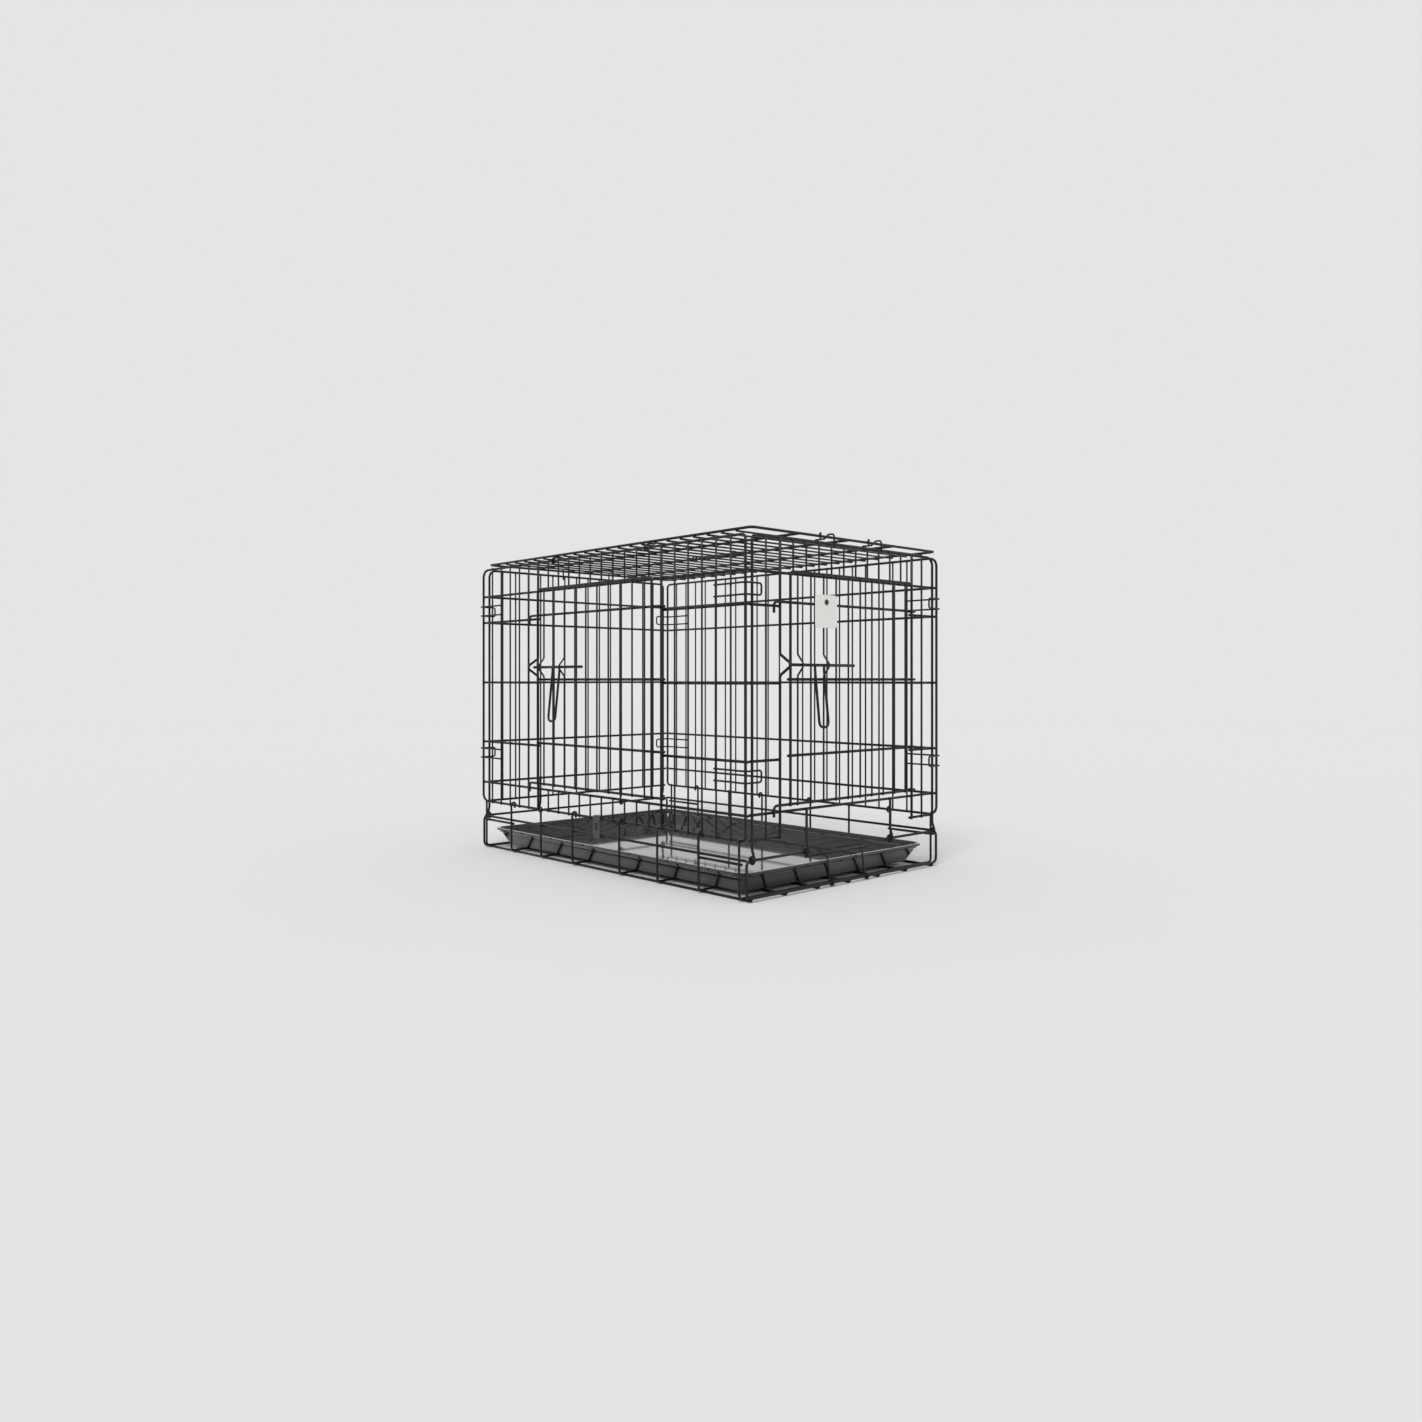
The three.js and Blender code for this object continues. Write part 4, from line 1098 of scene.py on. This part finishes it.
def tray_pan():
    """The plastic tray: lofted rings with a ledge, a turned down rim and a grooved floor."""
    tray = settings("tray")
    low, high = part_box("tray")
    half_x, half_y = (high[0] - low[0]) / 2, (high[1] - low[1]) / 2
    middle = Vector(((high[0] + low[0]) / 2, (high[1] + low[1]) / 2, low[2]))
    top = high[2] - low[2]
    ledge = top * tray.ledge_share
    wall, rim, shelf, groove = tray.wall, tray.rim, tray.ledge, tray.channel
    foot = rim + shelf + tray.flare
    soft = wall * 0.45
    start, slope = foot + tray.channel_place, tray.channel_slope
    bed = start + slope + tray.channel_width
    profile = [
        (start - slope, 0.0), (foot + soft, 0.0), (foot - soft * 0.3, soft * 0.3), (foot - soft, soft * 1.4),
        (rim + shelf + soft * 0.5, ledge - soft), (rim + shelf, ledge - soft * 0.2),
        (rim + shelf - soft * 0.4, ledge),
        (rim + soft, ledge + wall - soft * 0.4), (rim, ledge + wall), (rim - soft * 0.4, ledge + wall + soft),
        (rim - wall / 2, top - 2 * wall - soft), (rim - wall / 2 - soft, top - 2 * wall),
        (soft, top - 2 * wall), (0.0, top - 2 * wall + soft), (0.0, top - soft * 1.3),
        (soft * 0.35, top - soft * 0.35), (soft * 1.3, top),
        (rim - soft, top), (rim + soft * 0.1, top - soft * 0.4), (rim + soft * 0.7, top - soft * 1.6),
        (rim + wall - soft * 0.3, ledge + wall + soft), (rim + wall, ledge + wall * 0.9 + soft * 0.3),
        (rim + wall + soft, ledge + wall * 0.9), (rim + shelf + wall - soft, ledge),
        (rim + shelf + wall, ledge - soft * 0.4), (rim + shelf + wall + soft * 0.4, ledge - soft * 1.4),
        (foot + wall / 2 - soft, wall + soft * 2.2), (foot + wall / 2 + soft * 0.4, wall + soft * 0.5),
        (foot + wall / 2 + soft * 2.6, wall), (start, wall), (start + slope, wall - groove),
        (bed, wall - groove), (bed + slope, wall), (foot + tray.floor_ring, wall),
    ]
    bm = bmesh.new()
    rings = []
    for inset, height in profile:
        radius = max(tray.corner - inset, tray.corner * 0.4)
        points = rounded_ring(half_x - inset, half_y - inset, radius, tray.steps)
        rings.append([bm.verts.new(middle + Vector((x, y, height))) for x, y in points])
    for ring, after in zip(rings, rings[1:]):
        for i in range(len(ring)):
            j = (i + 1) % len(ring)
            bm.faces.new((ring[i], ring[j], after[j], after[i]))
    bm.faces.new(rings[0][::-1])
    bm.faces.new(rings[-1])
    obj = finish_mesh("tray_pan", bm, tray_plastic())
    hand_over(obj, "pan", ["tray"])


def carry_grip():
    """The carry handle: a grip with finger grooves on arms whose rings turn on the roof's middle rail."""
    grip, wires = settings("grip"), settings("wires")
    ring_height = GRIP_LINE.z
    across = GRIP_LINE.x + grip.offset
    lie = ring_height + grip.radius - wires.frame / 2
    along = GRIP_LINE.y
    half = grip.length / 2
    bm = bmesh.new()
    stations, radii = [], []
    steps = 64
    for step in range(steps + 1):
        share = step / steps * 2 - 1
        from_end = half * (1 - abs(share))
        shape = math.sqrt(max(0.0, 1 - (1 - min(from_end / grip.radius, 1)) ** 2))
        wave = grip.wave_depth * (0.5 + 0.5 * math.cos(share * math.pi * grip.waves))
        if abs(share) > grip.plain_end:
            wave = 0.0
        stations.append((across, along + half * share, lie))
        radii.append(max((grip.radius - wave) * max(shape, 0.25), 0.0006))
    sweep(bm, stations, radii, 24)
    ring_radius = grip.ring / 2 + wires.frame / 2 + wires.sink * 2.6
    for end in (-1, 1):
        place = along + end * (half - grip.arm)
        ring = curl((GRIP_LINE.x, place, ring_height), ring_radius, 0, 345, X, Z, 23)
        sweep(bm, ring, [grip.ring / 2] * len(ring), 12, closed=True)
        arm = [(GRIP_LINE.x + ring_radius, place, ring_height), (across - 0.006, place, ring_height + 0.0006),
               (across, place, lie)]
        arm = rounded(arm, grip.arm_bend)
        sweep(bm, arm, [grip.ring / 2] * len(arm), 12)
        rim, face = grip.collar, grip.collar - grip.collar_edge
        collar = [(across, place + offset, lie) for offset in (-rim, -face, face, rim)]
        sweep(bm, collar, [grip.radius * share for share in (0.9, 0.999, 0.999, 0.9)], 24)
    obj = finish_mesh("carry_grip", bm, grip_plastic(), 40.0)
    hand_over(obj, "roof_grip", ["carry_handle"])


def rail_strap():
    """The grey strap hooked over the near hinge rail, with its slot."""
    strap = settings("strap")
    low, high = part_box("rail_strap")
    bend = strap.thickness * 0.48
    outer, back = low[0], high[0]
    near, far = outer + strap.thickness, back - strap.thickness
    bottom, top = low[2], high[2]
    shelf, roof = bottom + strap.thickness, top - strap.thickness
    outline = [
        (outer, bottom), (back, bottom), (back, shelf + strap.lip), (far, shelf + strap.lip), (far, shelf),
        (near, shelf), (near, roof), (far, roof), (far, roof - strap.lip), (back, roof - strap.lip),
        (back, top), (outer, top),
    ]
    section = rounded([(x, 0, z) for x, z in outline], bend, steps=4, closed=True)
    middle = (low[1] + high[1]) / 2
    half = strap.width / 2
    bm = bmesh.new()
    rings = []
    for along in (-half, half):
        rings.append([bm.verts.new((station.x, middle + along, station.z)) for station in section])
    for i in range(len(section)):
        j = (i + 1) % len(section)
        bm.faces.new((rings[0][i], rings[0][j], rings[1][j], rings[1][i]))
    caps = [bm.faces.new(rings[0][::-1]), bm.faces.new(rings[1])]
    edges = [edge for cap in caps for edge in cap.edges]
    bmesh.ops.bevel(bm, geom=edges, offset=strap.bevel, segments=3, profile=0.6, affect="EDGES")
    obj = finish_mesh("rail_strap_clip", bm, strap_plastic())
    cut = bmesh.new()
    slot = rounded_ring(strap.slot_width / 2, strap.slot_height / 2, strap.slot_width * 0.3, 5)
    height = (bottom + top) / 2
    walls_of_slot = []
    for x in (outer - strap.thickness, near + strap.thickness):
        walls_of_slot.append([cut.verts.new((x, middle + y, height + z)) for y, z in slot])
    for i in range(len(slot)):
        j = (i + 1) % len(slot)
        cut.faces.new((walls_of_slot[0][i], walls_of_slot[0][j], walls_of_slot[1][j], walls_of_slot[1][i]))
    cut.faces.new(walls_of_slot[0][::-1])
    cut.faces.new(walls_of_slot[1])
    cutter = finish_mesh("strap_slot", cut, strap_plastic())
    boolean = obj.modifiers.new("Slot", "BOOLEAN")
    boolean.operation = "DIFFERENCE"
    boolean.object = cutter
    settle(obj)
    bpy.data.objects.remove(cutter)
    obj.data.set_sharp_from_angle(angle=math.radians(35))
    hand_over(obj, "base", ["rail_strap"])


def bare_tag():
    """The bare white tag on the front door, and the black tie that holds it."""
    tag, wires = settings("tag"), settings("wires")
    low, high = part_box("blank_tag")
    middle = Vector(((low[0] + high[0]) / 2, (low[1] + high[1]) / 2, (low[2] + high[2]) / 2))
    half = tag.size / 2
    thick = tag.thickness / 2
    steps = 8
    count = 4 * (steps + 1)
    outline = []
    for inset in (tag.edge, 0.0, tag.edge):
        outline.append(rounded_ring(half - inset, half - inset, tag.corner - inset, steps))
    hole = []
    for i in range(count):
        quarter, step = divmod(i, steps + 1)
        turn = (quarter + step / (steps + 1)) * math.pi / 2
        hole.append((tag.hole * math.cos(turn), tag.hole_lift + tag.hole * math.sin(turn)))
    bm = bmesh.new()
    rings = [
        [bm.verts.new(middle + Vector((x, -thick, z))) for x, z in hole],
        [bm.verts.new(middle + Vector((x, -thick, z))) for x, z in outline[0]],
        [bm.verts.new(middle + Vector((x, 0, z))) for x, z in outline[1]],
        [bm.verts.new(middle + Vector((x, thick, z))) for x, z in outline[2]],
        [bm.verts.new(middle + Vector((x, thick, z))) for x, z in hole],
    ]
    for ring, after in zip(rings, rings[1:] + rings[:1]):
        for i in range(count):
            j = (i + 1) % count
            bm.faces.new((ring[i], ring[j], after[j], after[i]))
    obj = finish_mesh("bare_tag", bm, tag_card())
    hand_over(obj, "front_leaf", ["blank_tag"])
    tie = bmesh.new()
    face = low[1]
    place = Vector((middle.x, face, middle.z + tag.hole_lift))
    dome = [place - Y * offset for offset in (-0.0016, 0.0002, 0.0008, 0.0014, 0.0018, 0.0020)]
    sweep(tie, dome, [tag.hole * 0.92, tag.hole * 0.95, 0.0046, 0.0042, 0.0030, 0.0012], 20)
    wire = CENTRE.x + end_place(round(tag.place))
    back = face + wires.fine + 0.0042
    loop = rounded([
        place + Y * 0.0006, (place.x, back, place.z), (wire - 0.0034, back + 0.0002, place.z + 0.001),
        (wire - 0.0034, face + 0.0016, place.z + 0.003),
    ], 0.0015)
    sweep(tie, loop, [tag.tie] * len(loop), 10)
    button = finish_mesh("tag_tie", tie, strap_plastic(dark=True))
    hand_over(button, "front_leaf")


class Shading:
    """A material's node tree while it is being put together."""

    def __init__(self, name):
        self.material = bpy.data.materials.new(name)
        self.material.use_nodes = True
        self.tree = self.material.node_tree
        self.shader = self.tree.nodes["Principled BSDF"]
        place = self.tree.nodes.new("ShaderNodeTexCoord")
        self.coordinates = place.outputs["Object"]

    def link(self, output, target):
        self.tree.links.new(output, target)

    def noise(self, size, detail=3.0, roughness=0.55, stretch=None):
        """Noise whose features are about a given size."""
        node = self.tree.nodes.new("ShaderNodeTexNoise")
        node.inputs["Scale"].default_value = 1 / size
        node.inputs["Detail"].default_value = detail
        node.inputs["Roughness"].default_value = roughness
        source = self.coordinates
        if stretch:
            mapping = self.tree.nodes.new("ShaderNodeMapping")
            mapping.inputs["Scale"].default_value = stretch
            self.link(source, mapping.inputs["Vector"])
            source = mapping.outputs["Vector"]
        self.link(source, node.inputs["Vector"])
        return node.outputs["Fac"]

    def cells(self, size):
        """Rounded cells of a moulded grain."""
        node = self.tree.nodes.new("ShaderNodeTexVoronoi")
        node.feature = "SMOOTH_F1"
        node.inputs["Scale"].default_value = 1 / size
        self.link(self.coordinates, node.inputs["Vector"])
        return node.outputs["Distance"]

    def colours(self, source, low, high, first, second):
        """Base colour that runs from one colour to another."""
        ramp = self.tree.nodes.new("ShaderNodeValToRGB")
        ramp.color_ramp.elements[0].position = low
        ramp.color_ramp.elements[0].color = (*first, 1)
        ramp.color_ramp.elements[1].position = high
        ramp.color_ramp.elements[1].color = (*second, 1)
        self.link(source, ramp.inputs["Fac"])
        self.link(ramp.outputs["Color"], self.shader.inputs["Base Color"])

    def sheen_range(self, source, low, high, smooth, rough):
        """Roughness that runs between two values."""
        span = self.tree.nodes.new("ShaderNodeMapRange")
        span.inputs["From Min"].default_value = low
        span.inputs["From Max"].default_value = high
        span.inputs["To Min"].default_value = smooth
        span.inputs["To Max"].default_value = rough
        self.link(source, span.inputs["Value"])
        self.link(span.outputs["Result"], self.shader.inputs["Roughness"])

    def bumps(self, layers):
        """Bumps laid on each other, each with a strength and a depth."""
        normal = None
        for source, strength, depth in layers:
            bump = self.tree.nodes.new("ShaderNodeBump")
            bump.inputs["Strength"].default_value = strength
            bump.inputs["Distance"].default_value = depth
            self.link(source, bump.inputs["Height"])
            if normal:
                self.link(normal, bump.inputs["Normal"])
            normal = bump.outputs["Normal"]
        self.link(normal, self.shader.inputs["Normal"])


def powder_coat():
    """Black powder coating: orange peel, thin places and a soft gloss."""
    made = bpy.data.materials.get("black_powder_coat")
    if made:
        return made
    finish = settings("finish")
    look = Shading("black_powder_coat")
    look.colours(look.noise(0.035, 4.0), 0.42, 0.75, finish.coat, finish.coat_worn)
    look.sheen_range(look.noise(0.012, 3.0), 0.3, 0.7, 0.28, 0.42)
    look.shader.inputs["Specular IOR Level"].default_value = 0.3
    look.bumps([
        (look.noise(0.004, 2.0), 0.25, 0.0002),
        (look.noise(finish.grain, 2.0), 0.35, 0.00006),
    ])
    return look.material


def tray_plastic():
    """Glossy black moulded plastic with a fine grain and light scuffs."""
    finish = settings("finish")
    look = Shading("black_tray_plastic")
    scuffs = look.noise(0.05, 6.0, 0.7, (1.0, 0.18, 1.0))
    look.colours(look.noise(0.08, 4.0), 0.4, 0.75, finish.tray, [value * 1.5 for value in finish.tray])
    look.sheen_range(scuffs, 0.45, 0.75, 0.13, 0.24)
    look.shader.inputs["Specular IOR Level"].default_value = 0.12
    look.shader.inputs["Coat Weight"].default_value = 1.0
    look.shader.inputs["Coat Roughness"].default_value = 0.05
    look.bumps([
        (look.noise(0.06, 1.0), 0.12, 0.0008),
        (look.cells(finish.grain * 1.6), 0.12, 0.00005),
    ])
    return look.material


def grip_plastic():
    """Satin black plastic of the carry handle."""
    finish = settings("finish")
    look = Shading("black_grip_plastic")
    look.colours(look.noise(0.02, 3.0), 0.4, 0.7, finish.grip, [value * 1.6 for value in finish.grip])
    look.sheen_range(look.noise(0.01, 3.0), 0.35, 0.7, 0.36, 0.5)
    look.bumps([(look.cells(finish.grain), 0.3, 0.00008)])
    return look.material


def strap_plastic(dark=False):
    """Satin plastic of the strap, or in black for the tag's tie."""
    finish = settings("finish")
    name = "black_tie_plastic" if dark else "grey_strap_plastic"
    made = bpy.data.materials.get(name)
    if made:
        return made
    base = finish.grip if dark else finish.strap
    look = Shading(name)
    darker, lighter = [value * 0.9 for value in base], [value * 1.2 for value in base]
    look.colours(look.noise(0.012, 3.0), 0.35, 0.75, darker, lighter)
    look.sheen_range(look.noise(0.006, 3.0), 0.35, 0.7, 0.38, 0.52)
    look.bumps([(look.cells(finish.grain * 0.8), 0.25, 0.00006)])
    return look.material


def tag_card():
    """Bare white card with a fine paper grain."""
    finish = settings("finish")
    look = Shading("white_tag_card")
    look.colours(look.noise(0.004, 5.0), 0.3, 0.75, [value * 0.965 for value in finish.card], finish.card)
    look.sheen_range(look.noise(0.01, 3.0), 0.35, 0.7, 0.45, 0.6)
    look.bumps([(look.noise(0.0009, 4.0), 0.2, 0.00004)])
    return look.material


def build_stage():
    """Pale floor and backdrop, soft light, and the photograph's camera."""
    stage = settings("stage")
    scene = bpy.context.scene
    scene.view_settings.view_transform = "Standard"
    colour = (*stage.backdrop, 1)

    bm = bmesh.new()
    bmesh.ops.create_grid(bm, x_segments=1, y_segments=1, size=stage.floor)
    mesh = bpy.data.meshes.new("floor")
    bm.to_mesh(mesh)
    bm.free()
    floor = new_object("floor", mesh)
    surface = bpy.data.materials.new("pale_floor")
    surface.use_nodes = True
    tree = surface.node_tree
    tree.nodes.clear()
    place = tree.nodes.new("ShaderNodeTexCoord")
    far = tree.nodes.new("ShaderNodeVectorMath")
    far.operation = "LENGTH"
    tree.links.new(place.outputs["Object"], far.inputs[0])
    fade = tree.nodes.new("ShaderNodeMapRange")
    fade.interpolation_type = "SMOOTHSTEP"
    fade.inputs["From Min"].default_value = stage.fade[0]
    fade.inputs["From Max"].default_value = stage.fade[1]
    tree.links.new(far.outputs["Value"], fade.inputs["Value"])
    matt = tree.nodes.new("ShaderNodeBsdfDiffuse")
    matt.inputs["Color"].default_value = colour
    clear = tree.nodes.new("ShaderNodeBsdfTransparent")
    blend = tree.nodes.new("ShaderNodeMixShader")
    tree.links.new(fade.outputs["Result"], blend.inputs["Fac"])
    tree.links.new(matt.outputs["BSDF"], blend.inputs[1])
    tree.links.new(clear.outputs["BSDF"], blend.inputs[2])
    output = tree.nodes.new("ShaderNodeOutputMaterial")
    tree.links.new(blend.outputs["Shader"], output.inputs["Surface"])
    mesh.materials.append(surface)

    world = bpy.data.worlds.new("pale_surround")
    scene.world = world
    world.use_nodes = True
    nodes, links = world.node_tree.nodes, world.node_tree.links
    nodes.clear()
    path = nodes.new("ShaderNodeLightPath")
    seen = None
    for name in ("Is Glossy Ray", "Is Transmission Ray"):
        either = nodes.new("ShaderNodeMath")
        either.operation = "MAXIMUM"
        links.new(seen or path.outputs["Is Camera Ray"], either.inputs[0])
        links.new(path.outputs[name], either.inputs[1])
        seen = either.outputs["Value"]
    light = nodes.new("ShaderNodeBackground")
    light.inputs["Color"].default_value = (1, 1, 1, 1)
    light.inputs["Strength"].default_value = stage.ambient
    backdrop = nodes.new("ShaderNodeBackground")
    backdrop.inputs["Color"].default_value = colour
    backdrop.inputs["Strength"].default_value = 1.0
    choose = nodes.new("ShaderNodeMixShader")
    links.new(seen, choose.inputs["Fac"])
    links.new(light.outputs["Background"], choose.inputs[1])
    links.new(backdrop.outputs["Background"], choose.inputs[2])
    surround = nodes.new("ShaderNodeOutputWorld")
    links.new(choose.outputs["Shader"], surround.inputs["Surface"])

    key = bpy.data.lights.new("key_light", "SUN")
    key.energy = stage.key
    key.angle = stage.key_spread
    lamp = new_object("key_light", key)
    lamp.rotation_euler = stage.key_turn

    lens = bpy.data.cameras.new("camera")
    lens.sensor_width = 36.0
    lens.lens = stage.lens
    lens.shift_y = stage.shift
    camera = new_object("camera", lens)
    camera.location = stage.camera
    camera.rotation_euler = (math.radians(90), 0, stage.azimuth)
    scene.camera = camera


class CRATE_OT_side_grilles(Operator):
    """Build the two side grilles"""
    bl_idname = "crate.side_grilles"
    bl_label = "Side Grilles"

    def execute(self, context):
        side_grille("near_side_grille", NEAR, "base", "near_side_panel", settings("walls").side_doorway)
        side_grille("far_side_grille", FAR, "base", "far_side_panel")
        return {"FINISHED"}


class CRATE_OT_end_grilles(Operator):
    """Build the two end grilles that fold inwards"""
    bl_idname = "crate.end_grilles"
    bl_label = "End Grilles"

    def execute(self, context):
        end_grille("front_grille", FRONT, "front_end", "front_panel", settings("walls").front_doorway)
        end_grille("back_grille", BACK, "back_end", "back_panel")
        return {"FINISHED"}


class CRATE_OT_doors(Operator):
    """Build the front door and the side door"""
    bl_idname = "crate.doors"
    bl_label = "Doors"

    def execute(self, context):
        door_grille("front_door_grille", FRONT, "front_leaf", "front_door")
        door_grille("side_door_grille", NEAR, "side_leaf", "side_door")
        return {"FINISHED"}


class CRATE_OT_latches(Operator):
    """Build each door's slide bolt and loop"""
    bl_idname = "crate.latches"
    bl_label = "Latches"

    def execute(self, context):
        for side, axes, line in (("front", FRONT, BOLT_LINE), ("side", NEAR, SIDE_BOLT_LINE)):
            bodies = (side + "_latch", side + "_latch_loop")
            slide_latch(side, axes, line, bodies, (side + "_bolt", side + "_bolt_handle"))
        return {"FINISHED"}


class CRATE_OT_base(Operator):
    """Build the welded base"""
    bl_idname = "crate.base"
    bl_label = "Base"

    def execute(self, context):
        base_frame()
        return {"FINISHED"}


class CRATE_OT_roof(Operator):
    """Build the hinged roof with its loops and hooks"""
    bl_idname = "crate.roof"
    bl_label = "Roof"

    def execute(self, context):
        roof_grille()
        return {"FINISHED"}


class CRATE_OT_clips(Operator):
    """Build the corner clips"""
    bl_idname = "crate.clips"
    bl_label = "Corner Clips"

    def execute(self, context):
        corner_clips()
        return {"FINISHED"}


class CRATE_OT_gate(Operator):
    """Build the gate in front of the tray"""
    bl_idname = "crate.gate"
    bl_label = "Tray Gate"

    def execute(self, context):
        tray_gate()
        return {"FINISHED"}


class CRATE_OT_tray(Operator):
    """Build the plastic tray"""
    bl_idname = "crate.tray"
    bl_label = "Tray"

    def execute(self, context):
        tray_pan()
        return {"FINISHED"}


class CRATE_OT_grip(Operator):
    """Build the carry handle"""
    bl_idname = "crate.grip"
    bl_label = "Carry Handle"

    def execute(self, context):
        carry_grip()
        return {"FINISHED"}


class CRATE_OT_strap(Operator):
    """Build the grey strap on the near rail"""
    bl_idname = "crate.strap"
    bl_label = "Rail Strap"

    def execute(self, context):
        rail_strap()
        return {"FINISHED"}


class CRATE_OT_tag(Operator):
    """Build the bare tag and its tie"""
    bl_idname = "crate.tag"
    bl_label = "Bare Tag"

    def execute(self, context):
        bare_tag()
        return {"FINISHED"}


class CRATE_OT_stage(Operator):
    """Build the floor, backdrop, light and camera"""
    bl_idname = "crate.stage"
    bl_label = "Stage"

    def execute(self, context):
        build_stage()
        return {"FINISHED"}


STEPS = (
    CRATE_OT_stage, CRATE_OT_side_grilles, CRATE_OT_end_grilles, CRATE_OT_doors, CRATE_OT_latches,
    CRATE_OT_base, CRATE_OT_roof, CRATE_OT_clips, CRATE_OT_gate, CRATE_OT_tray, CRATE_OT_grip,
    CRATE_OT_strap, CRATE_OT_tag,
)


class CRATE_PT_crate(Panel):
    """Sizes, colours and building steps of the crate"""
    bl_label = "Folding Wire Crate"
    bl_idname = "CRATE_PT_crate"
    bl_space_type = "VIEW_3D"
    bl_region_type = "UI"
    bl_category = "Crate"

    def draw(self, context):
        column = self.layout.column(align=True)
        for step in STEPS:
            column.operator(step.bl_idname)
        for name, group in GROUPS.items():
            box = self.layout.box()
            box.label(text=name.replace("_", " ").title())
            for prop in group.__annotations__:
                box.prop(getattr(context.scene, name), prop)


def register():
    for name, group in GROUPS.items():
        bpy.utils.register_class(group)
        setattr(bpy.types.Scene, name, PointerProperty(type=group))
    for step in STEPS:
        bpy.utils.register_class(step)
    bpy.utils.register_class(CRATE_PT_crate)


def unregister():
    bpy.utils.unregister_class(CRATE_PT_crate)
    for step in reversed(STEPS):
        bpy.utils.unregister_class(step)
    for name, group in reversed(GROUPS.items()):
        delattr(bpy.types.Scene, name)
        bpy.utils.unregister_class(group)


def main():
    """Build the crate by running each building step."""
    register()
    for step in STEPS:
        space, name = step.bl_idname.split(".")
        getattr(getattr(bpy.ops, space), name)()


if __name__ == "__main__":
    main()
